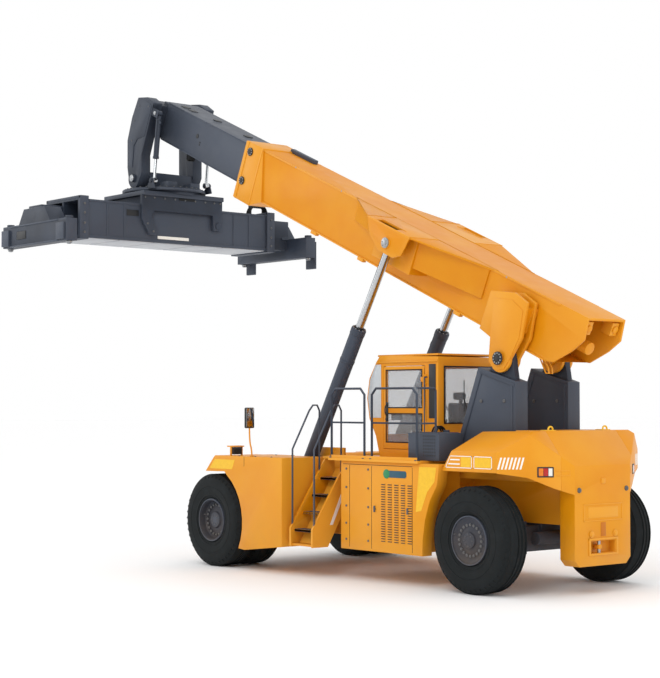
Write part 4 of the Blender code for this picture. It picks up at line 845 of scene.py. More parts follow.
def make_beam_trim():
    plates, pale, dark, bolts, white = [], [], [], [], []
    for end in (-1, 1):
        face = TILT.x + end * BEAM_X
        for z0, z1 in ((BEAM_LOW + 0.004, BEAM_LOW + 0.05), (BEAM_TOP - 0.045, BEAM_TOP - 0.006)):
            plates.append(block((face, -BEAM_END + 0.16, z0), (face + end * 0.009, BEAM_END - 0.16, z1),
                0.003))
        for side in (-1, 1):
            inner, outer = side * (BEAM_END - 0.20), side * BEAM_END
            plates.append(block((face - end * 0.01, inner, BEAM_LOW - 0.03),
                (face + end * 0.05, outer, BEAM_TOP + 0.05), 0.01))
            for z in (BEAM_LOW + 0.10, BEAM_LOW + 0.28, BEAM_TOP - 0.28, BEAM_TOP - 0.10):
                bolts.append(nut((face + end * 0.060, side * (BEAM_END - 0.10), z), 0.018, 0.02, "x"))
            for y in (1.35, 1.75):
                plates.append(block((face, side * y - 0.02, BEAM_LOW + 0.05),
                    (face + end * 0.010, side * y + 0.02, BEAM_TOP - 0.045), 0.003))
        white.append(block((face, -0.20, BEAM_LOW + 0.075), (face + end * 0.011, 0.56, BEAM_LOW + 0.135),
            0.002))
        dark.append(block((face, 1.02, BEAM_TOP - 0.26), (face + end * 0.012, 1.30, BEAM_TOP - 0.14),
            0.006))
    for side in (-1, 1):
        inner, outer = side * (BEAM_END - 0.20), side * BEAM_END
        for z0, z1 in ((BEAM_TOP - 0.004, BEAM_TOP + 0.055), (BEAM_LOW - 0.035, BEAM_LOW + 0.002)):
            plates.append(block((TILT.x - BEAM_X - 0.048, inner, z0), (TILT.x + BEAM_X + 0.048, outer, z1),
                0.008))
    for y0, y1 in ((-2.16, -1.10), (-1.06, -0.36), (-0.32, 0.62), (0.66, 1.44), (1.48, 2.16)):
        pale.append(block((TILT.x - BEAM_X + 0.02, y0, BEAM_LOW - 0.014),
            (TILT.x + BEAM_X - 0.02, y1, BEAM_LOW + 0.001), 0.004))
    for y in (-2.22, -1.92):
        dark.append(hose([(TILT.x - 0.44, y, BEAM_TOP - 0.01), (TILT.x - 0.44, y, BEAM_TOP + 0.13)], 0.014,
            False))
    loops = []
    for step in range(4):
        x = TILT.x - 0.50 + step * 0.04
        loops.append(
            hose([(x, -2.32, BEAM_TOP + 0.01), (x, -2.29, BEAM_TOP + 0.13), (x, -2.20, BEAM_TOP + 0.20),
            (x, -2.09, BEAM_TOP + 0.21), (x, -1.96, BEAM_TOP + 0.19), (x, -1.87, BEAM_TOP + 0.10),
            (x, -1.85, BEAM_TOP + 0.01)], 0.015))
    for turn in range(9):
        y = -2.25 + turn * 0.04
        dark.append(block((TILT.x - 0.52, y, BEAM_TOP + 0.155),
            (TILT.x - 0.36, y + 0.022, BEAM_TOP + 0.225), 0.006))
    outfit_all("spreader_beam", "",
        ("beam_flanges", plates, SLATE, "slate_paint"),
        ("beam_underside_covers", pale, PALE, "slate_paint"),
        ("beam_bolts", bolts, IRON, "slate_paint"),
        ("beam_marker_strips", white, WHITE, "slate_paint"),
        ("beam_hose_comb", dark, BLACK, "slate_paint"),
        ("beam_hose_loops", loops, SEAL, "tyre_rubber"))


def make_spreader_end_trim():
    for name, side in SIDES:
        plates, dark, bolts, locks = [], [], [], []
        face = side * (END_FACE - 0.05)
        for z0, z1 in ((END_LOW + 0.004, END_LOW + 0.035), (END_TOP - 0.035, END_TOP - 0.004)):
            plates.append(block((TILT.x - 0.92, face, z0), (TILT.x + 0.92, face + side * 0.012, z1), 0.004))
        dark.append(block((TILT.x + 0.30, face, END_LOW + 0.14),
            (TILT.x + 0.66, face + side * 0.010, END_LOW + 0.30), 0.008))
        rib = [(-0.56, END_TOP + 0.002), (-0.30, TILT.z - 0.80), (-0.26, TILT.z - 0.80),
            (-0.50, END_TOP + 0.002)]
        for mirror in (1, -1):
            for near in (0.012, 0.10):
                y = side * (END_FACE - 0.05 - 0.03 - near)
                plates.append(upright([(TILT.x + 0.04 + mirror * (x + 0.02), z) for x, z in rib], y, 0.014))
        for end in (-1, 1):
            x = TILT.x + end * 1.1295
            y = side * (END_FACE - 0.05 - 0.125)
            locks += [drum((x, y, END_LOW - 0.018), 0.060, 0.026, "z", 0.004, 24),
                drum((x, y, END_LOW - 0.045), 0.050, 0.02, "z", 0.006, 24)]
            for dx, dz in ((-0.22, 0.12), (-0.22, 0.26), (-0.06, 0.30)):
                bolts.append(nut((TILT.x + end * (1.20 + dx), face + side * 0.012, END_LOW + dz), 0.016,
                    0.02))
            plates.append(drum((x, y, END_TOP + 0.02), 0.075, 0.06, "z", 0.008, 32))
        body = "spreader_end_" + name
        outfit_all(body, name,
            ("end_beam_flanges_", plates, SLATE, "slate_paint"),
            ("end_beam_panel_", dark, BLACK, "slate_paint"),
            ("end_beam_bolts_", bolts, IRON, "slate_paint"),
            ("twistlock_collars_", locks, ZINC, "chromed_steel"))


make_rotator_trim()
make_carriage_trim()
make_beam_trim()
make_spreader_end_trim()

# ---------------------------------------------------------------- chassis
FENDER_LOW, FENDER_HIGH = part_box("front_fender_left")
FENDER_SIDE = FENDER_HIGH.y
HOUSING_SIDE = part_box("side_housing_left")[1].y
WING_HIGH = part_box("rear_fender_left")[1]
WING_SIDE = WING_HIGH.y
TAIL_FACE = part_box("counterweight")[0].x
DECK_LOW, DECK_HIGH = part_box("deck")
DECK_TOP = DECK_LOW.z + 0.04
STAIRS_LOW, STAIRS_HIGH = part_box("stairs_left")


def painted_by_place(piece, finishes, test):
    """Two finishes on one piece: the second where the test holds for a face's centre."""
    piece.data.materials.clear()
    for finish in finishes:
        piece.data.materials.append(finish)
    for face in piece.data.polygons:
        face.material_index = 1 if test(face.center) else 0


def ordered(a, b):
    return min(a, b), max(a, b)


def make_deck():
    """The deck's plate stays orange and its guard rails are slate."""
    deck = dressed("deck", ORANGE, 0.0)
    painted_by_place(deck, (ORANGE, SLATE), lambda centre: centre.z > DECK_TOP + 0.004)
    pads, feet, lips = [], [], []
    for _, side in SIDES:
        y = side * (DECK_HIGH.y - 0.04)
        for x in (-2.09, -2.91, -3.09, -4.15):
            feet.append(drum((x, y, DECK_TOP + 0.008), 0.045, 0.014, "z", 0.003, 24))
        y0, y1 = ordered(side * 0.80, side * (DECK_HIGH.y - 0.10))
        for x0, x1 in ((-1.78, -2.70), (-2.74, -3.40)):
            for row in range(7):
                for column in range(9):
                    x = x0 + (x1 - x0) * (column + 0.5) / 9
                    y = y0 + (y1 - y0) * (row + 0.5) / 7
                    pads.append(drum((x, y, DECK_TOP + 0.003), 0.012, 0.008, "z", 0, 8))
        lips.append(block((DECK_LOW.x + 0.02, side * (DECK_HIGH.y - 0.004), DECK_TOP - 0.004),
            (STAIRS_LOW.x - 0.10, side * (DECK_HIGH.y - 0.018), DECK_TOP + 0.05), 0.003))
    rails = []
    for _, side in SIDES:
        x, y = -4.15, side * 1.68
        rails.append(hose([(x, y, 3.10), (x, side * 1.32, 3.10), (x, side * 1.28, 3.06),
            (x, side * 1.28, DECK_TOP)], 0.019, False))
        rails.append(hose([(x, y, 2.55), (x, side * 1.28, 2.55)], 0.015, False))
    outfit_all("chassis", "",
        ("deck_rear_cross_rails", rails, SLATE, "slate_paint"),
        ("deck_anti_slip_studs", pads, ORANGE, "orange_paint"),
        ("rail_foot_plates", feet, SLATE, "slate_paint"),
        ("deck_kick_strips", lips, ORANGE, "orange_paint"))


TREADS, TREAD_GOING, TREAD_RISE = 4, 0.185, 0.28


def make_stairs():
    """Painted stairs with slate hand rails, a side stripe and a closed back under them; slate tread plates
    with grips, whose dark bands are partly painted shade under each nosing.
    """
    for name, side in SIDES:
        stairs = dressed("stairs_" + name, ORANGE, 0.0)

        def is_rail(centre):
            reach = abs(centre.y)
            return centre.z > 2.0 or (reach > 1.955 and centre.z > 0.86) or (abs(reach - 1.40) < 0.03
                and centre.z > 1.80)
        painted_by_place(stairs, (ORANGE, SLATE), is_rail)
        treads = []
        front, rear = STAIRS_HIGH.x - 0.06, STAIRS_LOW.x + 0.06
        for step in range(TREADS):
            y = side * (1.86 - step * TREAD_GOING)
            z = 0.78 + step * TREAD_RISE
            # Slate tread plates with grips; their dark front edges also stand for painted shade under each
            # nosing.
            treads.append(block((rear - 0.01, y - 0.10, z - 0.040), (front + 0.01, y + 0.10, z + 0.002),
                0.004))
            for hole in range(9):
                x = rear + 0.05 + hole * 0.052
                treads.append(drum((x, y - 0.04, z + 0.003), 0.014, 0.006, "z", 0, 10))
                treads.append(drum((x, y + 0.04, z + 0.003), 0.014, 0.006, "z", 0, 10))
        panel = [(1.86, 0.55), (1.08, 1.76), (1.06, 1.74), (1.84, 0.52)]
        turn = Matrix(((0, 0, 1, 0), (side, 0, 0, 0), (0, 1, 0, 0), (0, 0, 0, 1)))
        back = plate(panel, front - rear - 0.02, Matrix.Translation(((front + rear) / 2, 0, 0)) @ turn, 0)
        stripe = [(1.66, 0.86), (1.60, 0.86), (1.38, 1.30), (1.20, 1.30), (1.20, 1.36), (1.42, 1.36)]
        mark = plate(stripe, 0.004, Matrix.Translation((STAIRS_LOW.x - 0.002, 0, 0)) @ turn, 0)
        if side < 0:
            faces_outward(mark)
        outfit_all("chassis", name,
            ("stair_side_stripe_", [mark], WHITE, "orange_paint"),
            ("stair_tread_grips_and_shade_", treads, SLATE, "slate_paint"))
        if side < 0:
            faces_outward(back)
        outfit("stair_back_panel_" + name, [back], "chassis", ORANGE)


LOUVRE_COLUMNS, LOUVRE_ROWS, LOUVRE_WIDTH, LOUVRE_PITCH = 5, 24, 0.155, 0.039
SEAM_SINK, SEAM_PROUD = 0.001, 0.0015


def make_housings():
    """Louvres, screws, door seams and blank plates on both side housings."""
    for name, side in SIDES:
        skin = side * HOUSING_SIDE
        slots, hoods, screws, seams, badge, patch, blue = [], [], [], [], [], [], []
        for column in range(LOUVRE_COLUMNS):
            x = -3.34 - column * LOUVRE_WIDTH
            for row in range(LOUVRE_ROWS):
                z = 0.68 + row * LOUVRE_PITCH
                # Thin black sheets under the louvre hoods: painted shade in the openings.
                slots.append(block((x - 0.048, skin - 0.002, z - 0.010),
                    (x + 0.048, skin + side * 0.0025, z + 0.008), 0))
                hoods.append(
                    upright([(x - 0.052, z + 0.006), (x + 0.052, z + 0.006), (x + 0.046, z + 0.018),
                    (x - 0.046, z + 0.018)], skin + side * 0.006, 0.012, 0))
        for x in (-2.44, -2.98):
            for z in (0.66, 0.92, 1.20, 1.50, 1.80):
                screws.append(nut((x, skin + side * 0.005, z), 0.014, 0.014))
        for x in (-2.52, -3.06, -4.02):
            seams.append(block((x - 0.004, skin - SEAM_SINK, 0.54),
                (x + 0.004, skin + side * SEAM_PROUD, 1.86), 0))
        seams.append(block((-4.02, skin - SEAM_SINK, 1.872), (-2.36, skin + side * SEAM_PROUD, 1.880), 0))
        for x in (-3.14, -3.92):
            screws.append(drum((x, skin + side * 0.010, 1.18), 0.022, 0.02, steps=20))
            screws.append(block((x - 0.012, skin, 1.13), (x + 0.012, skin + side * 0.028, 1.23), 0.004))
        badge.append(drum((-3.42, skin + side * 0.004, 1.745), 0.075, 0.008, steps=32))
        blue.append(upright([(-3.48, 1.69), (-3.86, 1.69), (-3.885, 1.715), (-3.885, 1.775), (-3.86, 1.80),
            (-3.48, 1.80)], skin + side * 0.003, 0.006, 0.002))
        patch.append(upright([(-4.10, 1.18), (-4.22, 1.20), (-4.36, 1.50), (-4.52, 1.66), (-4.56, 1.88),
            (-4.18, 1.88)], skin + side * SEAM_PROUD, 0.003, 0))
        outfit_all("chassis", name,
            ("louvre_slot_shade_", slots, BLACK, "orange_paint"),
            ("louvre_hoods_", hoods, ORANGE, "orange_paint"),
            ("housing_screws_", screws, IRON, "orange_paint"),
            ("housing_seams_", seams, SEAL, "orange_paint"),
            ("blank_badge_", badge, GREEN, "orange_paint"),
            ("blank_badge_bar_", blue, BLUE, "orange_paint"),
            ("housing_edge_patch_", patch, YELLOW, "orange_paint"))


FRAME_LOW, FRAME_HIGH, FRAME_RIM = 1.885, 2.070, 0.012
STRIPES, STRIPE_PITCH, STRIPE_HEIGHT, STRIPE_SLANT = 7, 0.056, 1.975, 0.28
TAIL_LAMP_HEIGHT = 1.845


def make_wings():
    """Plate frames, slanted stripes, lamps and recess rims on the rear wings."""
    for name, side in SIDES:
        skin = side * WING_SIDE
        frames, white, yellow = [], [], []

        def panel(points, thick=0.003):
            return upright(points, skin + side * thick / 2, thick, 0)

        def frame_of(x0, top, x1):
            low, high, rim = FRAME_LOW, FRAME_HIGH, FRAME_RIM
            return [panel([(x0, low), (x1, low), (x1, low + rim), (x0, low + rim)]),
                panel([(top, high - rim), (x1, high - rim), (x1, high), (top, high)]),
                panel([(x0, low), (x0 - rim, low), (top - rim, high), (top, high)]),
                panel([(x1, low), (x1 + rim, low), (x1 + rim, high), (x1, high)])]
        frames += frame_of(-4.70, -4.80, -5.27) + frame_of(-5.31, -5.31, -5.69)
        yellow.append(panel([(-5.33, 1.905), (-5.67, 1.905), (-5.67, 2.05), (-5.33, 2.05)], 0.002))
        yellow.append(panel([(-5.04, 1.905), (-5.25, 1.905), (-5.25, 2.05), (-5.04, 2.05)], 0.002))
        white.append(panel([(-4.76, 1.935), (-5.01, 1.935), (-5.01, 1.955), (-4.77, 1.955)], 0.002))
        white.append(panel([(-4.80, 2.000), (-5.01, 2.000), (-5.01, 2.020), (-4.81, 2.020)], 0.002))
        outfit_all("chassis", name,
            ("wing_plate_frames_", frames, WHITE, "orange_paint"),
            ("wing_yellow_plates_", yellow, YELLOW, "orange_paint"))
        corner = Vector((-5.80, side * WING_SIDE, 0))
        tail = Vector((TAIL_FACE, side * 0.63, 0))
        along = (tail - corner).normalized()
        out = Vector((along.y * -side, along.x * side, 0)).normalized()
        if out.x > 0:
            out = -out
        angle = atan2(along.y, along.x)

        def on_face(distance, height, reach=0.0):
            return corner + along * distance + out * reach + Vector((0, 0, height))

        def face_box(distance, height, length, tall, deep, bevel=0.006):
            piece = block((-length / 2, -deep / 2, -tall / 2), (length / 2, deep / 2, tall / 2), bevel)
            piece.data.transform(Matrix.Translation(on_face(distance, height))
                @ Matrix.Rotation(angle, 4, "Z"))
            return piece
        for step in range(STRIPES):
            stripe = face_box(0.035 + step * STRIPE_PITCH, STRIPE_HEIGHT, 0.027, 0.175, 0.004, 0)
            for vertex in stripe.data.vertices:
                vertex.co += along * (vertex.co.z - STRIPE_HEIGHT) * STRIPE_SLANT
            white.append(stripe)
        outfit("wing_stripes_" + name, white, "chassis", WHITE)
        rims = [face_box(0.725, TAIL_LAMP_HEIGHT, 0.25, 0.155, 0.020, 0.008)]
        amber, red, clear = ([face_box(distance, TAIL_LAMP_HEIGHT, length, 0.115, 0.034)] for distance,
            length in ((0.655, 0.07), (0.728, 0.07), (0.798, 0.06)))
        outfit_all("chassis", name,
            ("tail_lamp_frame_", rims, BLACK, "lamp_lens"),
            ("tail_lamp_amber_", amber, AMBER, "lamp_lens"),
            ("tail_lamp_red_", red, RED, "lamp_lens"),
            ("tail_lamp_clear_", clear, LENS, "lamp_lens"))
        recess = [face_box(0.99, 1.865, 0.22, 0.012, 0.014, 0.003),
            face_box(0.99, 1.795, 0.22, 0.012, 0.014, 0.003),
            face_box(1.095, 1.83, 0.012, 0.075, 0.014, 0.003)]
        outfit("tail_recess_rim_" + name, recess, "chassis", ORANGE)


def make_tail():
    """The tail's blank cast plate, bolts, tow pin and a slot drawn in painted shade, and the hood's grab
    handles and seams.
    """
    face = TAIL_FACE
    raised, dark, zinc, dark_bolts = [], [], [], []

    def on_tail(y0, y1, z0, z1, proud, bevel=0.004):
        return block((face - proud, y0, z0), (face + 0.004, y1, z1), bevel)
    raised += [on_tail(-0.44, 0.44, 1.345, 1.360, 0.008), on_tail(-0.44, 0.44, 1.10, 1.115, 0.008),
        on_tail(-0.44, -0.425, 1.10, 1.36, 0.008), on_tail(0.425, 0.44, 1.10, 1.36, 0.008),
        on_tail(-0.34, 0.34, 1.15, 1.31, 0.005, 0.003)]
    raised += [on_tail(-0.33, 0.33, 0.815, 0.845, 0.014), on_tail(-0.33, -0.29, 0.60, 0.845, 0.012),
        on_tail(0.29, 0.33, 0.60, 0.845, 0.012), on_tail(-0.33, 0.33, 0.585, 0.612, 0.014)]
    for side in (-1, 1):
        dark_bolts.append(drum((face - 0.004, side * 0.536, 1.57), 0.040, 0.012, "x"))
        dark_bolts.append(nut((face - 0.014, side * 0.536, 1.57), 0.024, 0.03, "x"))
        raised.append(nut((face - 0.010, side * 0.267, 0.905), 0.036, 0.03, "x"))
    # The slot is a thin proud block in darker orange: painted shade where the recess would be.
    dark.append(on_tail(-0.055, 0.055, 0.87, 1.075, 0.007, 0.003))
    raised.append(on_tail(-0.045, 0.045, 1.66, 1.74, 0.016, 0.008))
    raised.append(drum((face + 0.05, 0.07, 0.71), 0.040, 0.10, "x", 0.004))
    zinc.append(drum((face + 0.030, 0.07, 0.71), 0.027, 0.20, "z", 0.004, 24))
    outfit_all("chassis", "",
        ("tail_cast_details", raised, ORANGE, "orange_paint"),
        ("tail_dark_bolts", dark_bolts, IRON, "cast_iron"),
        ("tail_slot_shade", dark, SLOT_SHADE_ORANGE, "orange_paint"),
        ("tail_bolts_and_tow_pin", zinc, ZINC, "slate_paint"))
    top = WING_HIGH.z
    lift = []
    for side in (-1, 1):
        lift.append(block((-6.00, side * 0.62 - 0.09, top - 0.006),
            (-5.84, side * 0.62 + 0.09, top + 0.012), 0.006))
        lift.append(hose([(-5.96, side * 0.62 - 0.05, top + 0.006), (-5.96, side * 0.62 - 0.05, top + 0.06),
            (-5.96, side * 0.62 + 0.05, top + 0.06), (-5.96, side * 0.62 + 0.05, top + 0.006)], 0.014))
    outfit("hood_grab_handles", lift, "chassis", YELLOW)
    seams = [block((-6.02, -0.50, top - 0.002), (-5.44, -0.492, top + 0.002), 0),
        block((-6.02, 0.492, top - 0.002), (-5.44, 0.50, top + 0.002), 0)]
    outfit("hood_seams", seams, "chassis", SEAL)


def make_tower_trim():
    """Edge plates, foot blocks and bolts on the two boom towers."""
    for name, side in SIDES:
        outer, inner = side * 0.74, side * 0.46
        plates, bolts = [], []
        for face, out in ((outer, side), (inner, -side)):
            rim = [(-4.10, 2.08), (-4.60, 3.36), (-4.64, 3.35), (-4.14, 2.08)]
            plates.append(upright(rim, face + out * 0.005, 0.010, 0.003))
            rim = [(-5.30, 2.08), (-5.30, 3.17), (-5.26, 3.19), (-5.26, 2.08)]
            plates.append(upright(rim, face + out * 0.005, 0.010, 0.003))
            rim = [(-4.58, 3.385), (-5.33, 3.17), (-5.33, 3.12), (-4.60, 3.33)]
            plates.append(upright(rim, face + out * 0.006, 0.012, 0.003))
            for x, z in ((-4.50, 2.30), (-4.62, 2.90), (-5.10, 2.30), (-5.12, 2.90)):
                bolts.append(nut((x, face + out * 0.010, z), 0.020, 0.020))
        for x, z in ((-4.30, 2.16), (-5.20, 2.16)):
            plates.append(block((x - 0.07, outer - side * 0.005, 2.055),
                (x + 0.07, outer + side * 0.05, 2.12)))
        outfit_all("chassis", name,
            ("tower_edge_plates_", plates, SLATE, "slate_paint"),
            ("tower_bolts_", bolts, IRON, "slate_paint"))


def make_front():
    """Work lamps, mirrors, screws and seams on the front fenders, and the hydraulic box's fittings."""
    for name, side in SIDES:
        low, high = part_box("work_lamp_" + name)
        middle = (low + high) / 2
        hood = block((low.x - 0.004, low.y - 0.03, high.z - 0.022), (high.x + 0.05, high.y + 0.03, high.z),
            0.008)
        posts = [block((middle.x - 0.02, y - 0.008, low.z), (middle.x + 0.02, y + 0.008, high.z - 0.01),
            0.003) for y in (low.y - 0.018, high.y + 0.018)]
        outfit("work_lamp_hood_" + name, [hood] + posts, "chassis", ORANGE)
        case = block((low.x + 0.012, low.y + 0.008, low.z + 0.018),
            (high.x - 0.018, high.y - 0.008, high.z - 0.026), 0.014)
        fins = [block((low.x + 0.002, low.y + 0.02, z), (low.x + 0.016, high.y - 0.02, z + 0.006), 0)
            for z in (low.z + 0.04, low.z + 0.06, low.z + 0.08, low.z + 0.10)]
        case = outfit("work_lamp_case_" + name, [case] + fins, "chassis", BLACK)
        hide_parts("work_lamp_" + name)
        glass = block((high.x - 0.020, low.y + 0.02, low.z + 0.030),
            (high.x - 0.006, high.y - 0.02, high.z - 0.038), 0.004)
        outfit("work_lamp_glass_" + name, [glass], "chassis", LENS)
        low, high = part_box("mirror_" + name)
        x, y = -0.31, side * 1.98
        post = hose([(x, y, FENDER_HIGH.z), (x, y, 2.06), (x + 0.07, y, 2.20), (x + 0.07, y, 2.50)], 0.014)
        foot = drum((x, y, FENDER_HIGH.z + 0.008), 0.04, 0.014, "z")
        stem = outfit("mirror_post_" + name, [post, foot], "chassis", ORANGE)
        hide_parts("mirror_" + name)
        middle = x + 0.07
        shell = block((middle - 0.024, low.y + 0.004, high.z - 0.358),
            (middle + 0.028, high.y - 0.004, high.z - 0.002), 0.020)
        outfit("mirror_shell_" + name, [shell], "chassis", BLACK)
        face = block((middle - 0.030, low.y + 0.020, high.z - 0.342),
            (middle - 0.020, high.y - 0.020, high.z - 0.018), 0.003)
        outfit("mirror_glass_" + name, [face], "chassis", MIRROR)
        skin = side * FENDER_SIDE
        trim, screws = [], []
        for x in (-0.05, -0.50, -0.95):
            screws.append(nut((x, side * (FENDER_SIDE - 0.05), FENDER_HIGH.z + 0.006), 0.013, 0.014, "z"))
            screws.append(nut((x, side * 1.25, FENDER_HIGH.z + 0.006), 0.013, 0.014, "z"))
        trim.append(block((FENDER_LOW.x + 0.01, skin - side * 0.012, 0.50),
            (FENDER_LOW.x + 0.03, skin - side * 0.002, 1.90), 0))
        seam = [block((-0.252, skin - SEAM_SINK, 1.78), (-0.244, skin + side * SEAM_PROUD, 1.945), 0)]
        yellow = [upright([(0.02, 1.885), (0.60, 1.885), (0.76, 1.72), (0.10, 1.72)], skin + side * 0.0012,
            0.0024, 0)]
        outfit_all("chassis", name,
            ("fender_screws_", screws, IRON, "orange_paint"),
            ("fender_seams_", trim + seam, SEAL, "orange_paint"),
            ("fender_edge_patch_", yellow, YELLOW, "orange_paint"))
    low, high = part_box("hydraulic_box")
    # Black squares on the box's side: painted shade in its perforations.
    holes = []
    for row in range(7):
        for column in range(6):
            holes.append(block((low.x + 0.08 + column * 0.05, high.y - 0.001, low.z + 0.07 + row * 0.05),
                (low.x + 0.105 + column * 0.05, high.y + 0.0025, low.z + 0.095 + row * 0.05), 0))
    outfit("hydraulic_box_hole_shade", holes, "chassis", BLACK)
    fittings = [drum((low.x + 0.20, low.y + 0.16, high.z + 0.02), 0.05, 0.05, "z", 0.006),
        drum((low.x + 0.42, low.y + 0.20, high.z + 0.015), 0.03, 0.04, "z", 0.004)]
    fittings.append(block((low.x + 0.03, low.y + 0.06, high.z - 0.002),
        (high.x - 0.03, high.y - 0.06, high.z + 0.010)))
    outfit("hydraulic_box_caps", fittings, "chassis", SLATE)
    lines = [
        hose([(high.x - 0.10 - step * 0.05, low.y + 0.10, high.z),
        (high.x - 0.10 - step * 0.05, low.y + 0.05, high.z + 0.12),
        (high.x - 0.12 - step * 0.05, low.y - 0.08, high.z + 0.06),
        (high.x - 0.12 - step * 0.05, low.y - 0.13, high.z - 0.12),
        (high.x - 0.12 - step * 0.05, low.y - 0.15, DECK_TOP + 0.02)], 0.014) for step in range(3)]
    outfit("hydraulic_box_hoses", lines, "chassis", SEAL)


make_deck()
make_stairs()
make_housings()
make_wings()
make_tail()
make_tower_trim()
make_front()

# ---------------------------------------------------------------- cab
CAB_LOW, CAB_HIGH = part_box("cab_shell")
CAB_SIDE = 0.75


def window_seal(x0, x1, z0, z1, y, out, width=0.022, proud=0.010):
    """A rubber frame round a window that faces along y."""
    bars = [((x0 - width, z0 - width), (x1 + width, z0)), ((x0 - width, z1), (x1 + width, z1 + width)),
        ((x0 - width, z0), (x0, z1)), ((x1, z0), (x1 + width, z1))]
    return [block((low[0], y - out * 0.004, low[1]), (high[0], y + out * proud, high[1]), 0.003) for low,
        high in bars]


def make_cab():
    seals = []
    for window in ("upper", "lower"):
        low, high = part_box("cab_door_window_" + window)
        seals += window_seal(low.x, high.x, low.z, high.z, CAB_SIDE, 1, 0.020, 0.006)
    handle = [hose([(-2.42, CAB_SIDE + 0.002, 2.66), (-2.42, CAB_SIDE + 0.05, 2.67),
        (-2.42, CAB_SIDE + 0.05, 2.83), (-2.42, CAB_SIDE + 0.002, 2.84)], 0.010),
        drum((-2.42, CAB_SIDE + 0.012, 2.60), 0.022, 0.03),
        block((-2.45, CAB_SIDE - 0.002, 2.56), (-2.39, CAB_SIDE + 0.008, 2.88), 0.004)]
    outfit_all("cab_door", "",
        ("door_window_seals", seals, SEAL, "tyre_rubber"),
        ("door_handle", handle, BLACK, "slate_paint"))
    low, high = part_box("right_window")
    seals = window_seal(low.x, high.x, low.z, high.z, -CAB_SIDE, -1)
    x = CAB_LOW.x
    for y0, y1, z0, z1 in ((-0.62, 0.62, 2.53, 2.552), (-0.62, 0.62, 3.448, 3.47),
            (-0.622, -0.60, 2.55, 3.45), (0.60, 0.622, 2.55, 3.45)):
        seals.append(block((x - 0.010, y0, z0), (x + 0.010, y1, z1), 0.003))
    outfit("cab_window_seals", seals, "chassis", SEAL)
    roof = [block((CAB_LOW.x + 0.03, -0.72, CAB_HIGH.z - 0.02),
        (CAB_HIGH.x - 0.24, 0.72, CAB_HIGH.z + 0.012), 0.008)]
    outfit("cab_roof_panels", roof, "chassis", ORANGE)
    gutter = []
    for side in (-1, 1):
        gutter.append(block((CAB_LOW.x + 0.01, side * CAB_SIDE, 3.535),
            (-2.18, side * (CAB_SIDE + 0.022), 3.560), 0.006))
    outfit("cab_roof_gutters", gutter, "chassis", ORANGE)
    wiper = [hose([(x - 0.018, 0.05, 2.52), (x - 0.030, 0.12, 2.75), (x - 0.016, 0.18, 2.95)], 0.008),
        block((x - 0.014, 0.165, 2.72), (x - 0.004, 0.180, 3.24), 0.003),
        drum((x - 0.012, 0.05, 2.51), 0.025, 0.03, "x")]
    outfit("rear_wiper", wiper, "chassis", BLACK)
    grab = [hose([(-3.39, CAB_SIDE + 0.002, 2.30), (-3.39, CAB_SIDE + 0.06, 2.31),
        (-3.39, CAB_SIDE + 0.06, 3.28), (-3.39, CAB_SIDE + 0.002, 3.29)], 0.012, False)]
    outfit("cab_grab_rail", grab, "chassis", SLATE)
    strip, quarter = [], []
    for side in (-1, 1):
        face = side * CAB_SIDE
        strip.append(upright([(-3.60, 2.62), (-3.44, 2.62), (-3.44, 3.50), (-3.60, 3.50)],
            face + side * 0.003, 0.006, 0.001))
        quarter.append(upright([(-2.27, 2.62), (-2.00, 2.62), (-1.94, 2.95), (-2.00, 3.27), (-2.14, 3.51),
            (-2.27, 3.51)], face + side * 0.003, 0.006, 0.001))
    # The quarter glass is an opaque pale pane: a painted reflection.
    outfit_all("chassis", "",
        ("cab_side_strip_glass", strip, BLACK, "tinted_glass"),
        ("cab_quarter_glass", quarter, REFLECTION_GLASS, "tinted_glass"))
    # Black strips on the cab side: painted shade in the vent openings.
    louvres = [block((-3.61, 0.758, 2.16 + row * 0.035), (-3.46, 0.762, 2.178 + row * 0.035), 0)
        for row in range(5)]
    outfit("cab_vent_slot_shade", louvres, "chassis", BLACK)
    make_interior()


CLOTH_PRESSURE, CLOTH_FRAMES = 4, 14
PAD_GRAIN, SEAM_REACH, SEAM_DEPTH = 0.014, 0.12, 0.010


def cushion(name, low, high, crown, sections):
    """A crowned, stitched pad: a subdivided block, swollen by cloth pressure, with sewn channels."""
    deselect()
    low, high = Vector(low), Vector(high)
    bpy.ops.mesh.primitive_cube_add(size=1, location=(low + high) / 2)
    pad = bpy.context.object
    pad.scale = high - low - 2 * Vector((crown, crown, crown))
    settle(pad)
    finish_with(pad, "BEVEL", width=min(high - low) * 0.22, segments=3)
    finish_with(pad, "REMESH", mode="VOXEL", voxel_size=PAD_GRAIN)
    rest = [vertex.co.copy() for vertex in pad.data.vertices]
    pick(pad)
    cloth = pad.modifiers.new("cloth", "CLOTH")
    cloth.settings.use_pressure = True
    cloth.settings.uniform_pressure_force = CLOTH_PRESSURE
    cloth.settings.effector_weights.gravity = 0
    cloth.settings.quality = 5
    cloth.point_cache.frame_end = CLOTH_FRAMES
    for step in range(CLOTH_FRAMES):
        bpy.context.scene.frame_set(step + 1)
    bpy.ops.object.modifier_apply(modifier="cloth")
    bpy.context.scene.frame_set(1)
    for vertex, start in zip(pad.data.vertices, rest):
        move = vertex.co - start
        if move.length > crown:
            vertex.co = start + move * (crown / move.length)
    middle = (low + high) / 2
    size = high - low
    thin = min(range(3), key=lambda axis: size[axis])
    for vertex in pad.data.vertices:
        across = (vertex.co.y - low.y) / size.y
        edge = min(abs(across * sections - round(across * sections)) / SEAM_REACH, 1)
        if 0 < round(across * sections) < sections:
            depth = SEAM_DEPTH * (1 - edge) ** 2
            vertex.co[thin] -= depth * (1 if vertex.co[thin] > middle[thin] else -1)
    finish_with(pad, "SUBSURF", levels=1, render_levels=1)
    outfit(name, [pad], "chassis", CLOTH, 60)
    return pad


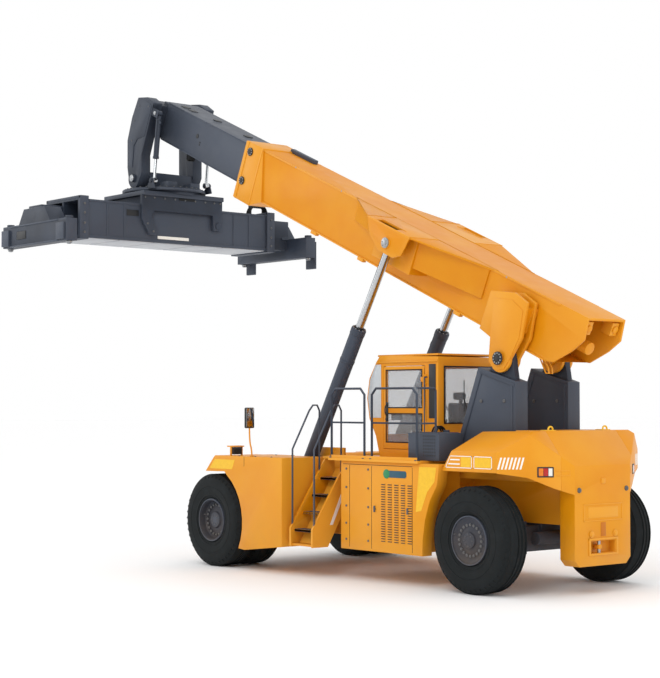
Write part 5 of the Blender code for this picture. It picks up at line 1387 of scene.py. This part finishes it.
def make_interior():
    low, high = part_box("driver_seat")
    base = cushion("seat_cushion", (low.x + 0.09, low.y, high.z - 0.775), (high.x, high.y, high.z - 0.635),
        0.012, 3)
    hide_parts("driver_seat")
    cushion("seat_backrest", (low.x, low.y + 0.01, high.z - 0.62),
        (low.x + 0.14, high.y - 0.01, high.z - 0.16), 0.012, 3)
    cushion("seat_headrest", (low.x + 0.01, low.y + 0.12, high.z - 0.14),
        (low.x + 0.12, high.y - 0.12, high.z), 0.010, 1)
    middle = (low.y + high.y) / 2
    frame_shapes = [block((low.x + 0.14, middle - 0.19, low.z),
        (high.x - 0.10, middle + 0.19, low.z + 0.06), 0.01),
        block((low.x + 0.18, middle - 0.15, low.z + 0.05), (high.x - 0.14, middle + 0.15, high.z - 0.79),
        0.02), block((low.x + 0.02, middle - 0.03, high.z - 0.20),
        (low.x + 0.05, middle + 0.03, high.z - 0.10), 0.004)]
    for side in (-1, 1):
        frame_shapes.append(block((low.x + 0.10, middle + side * 0.27 - 0.035, high.z - 0.50),
            (high.x - 0.02, middle + side * 0.27 + 0.035, high.z - 0.45), 0.014))
        frame_shapes.append(drum((high.x - 0.06, middle + side * 0.27, high.z - 0.40), 0.016, 0.12, "z",
            0.005, 20))
        frame_shapes.append(block((low.x + 0.10, middle + side * 0.27 - 0.02, high.z - 0.66),
            (low.x + 0.16, middle + side * 0.27 + 0.02, high.z - 0.48), 0.006))
    outfit("seat_frame_and_armrests", frame_shapes, "chassis", BLACK)
    low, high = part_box("control_console")
    centre = ((low.x + high.x) / 2 - 0.06, 0, high.z + 0.005)
    deselect()
    bpy.ops.mesh.primitive_torus_add(location=centre, major_radius=0.19, minor_radius=0.014,
        major_segments=48, minor_segments=12)
    wheel = [settle(bpy.context.object), drum(centre, 0.045, 0.03, "z", 0.008)]
    for turn in range(3):
        spoke = block((0.03, -0.014, -0.005), (0.19, 0.014, 0.005), 0.003)
        spoke.data.transform(Matrix.Translation(centre) @ Matrix.Rotation(2 * pi * turn / 3, 4, "Z"))
        wheel.append(spoke)
    wheel.append(block((low.x - 0.01, -0.24, high.z - 0.30), (high.x + 0.02, -0.13, high.z - 0.05), 0.012))
    wheel.append(block((high.x - 0.03, 0.26, high.z - 0.10), (high.x, 0.50, high.z + 0.12), 0.012))
    outfit("steering_wheel_and_displays", wheel, "chassis", BLACK)


make_cab()
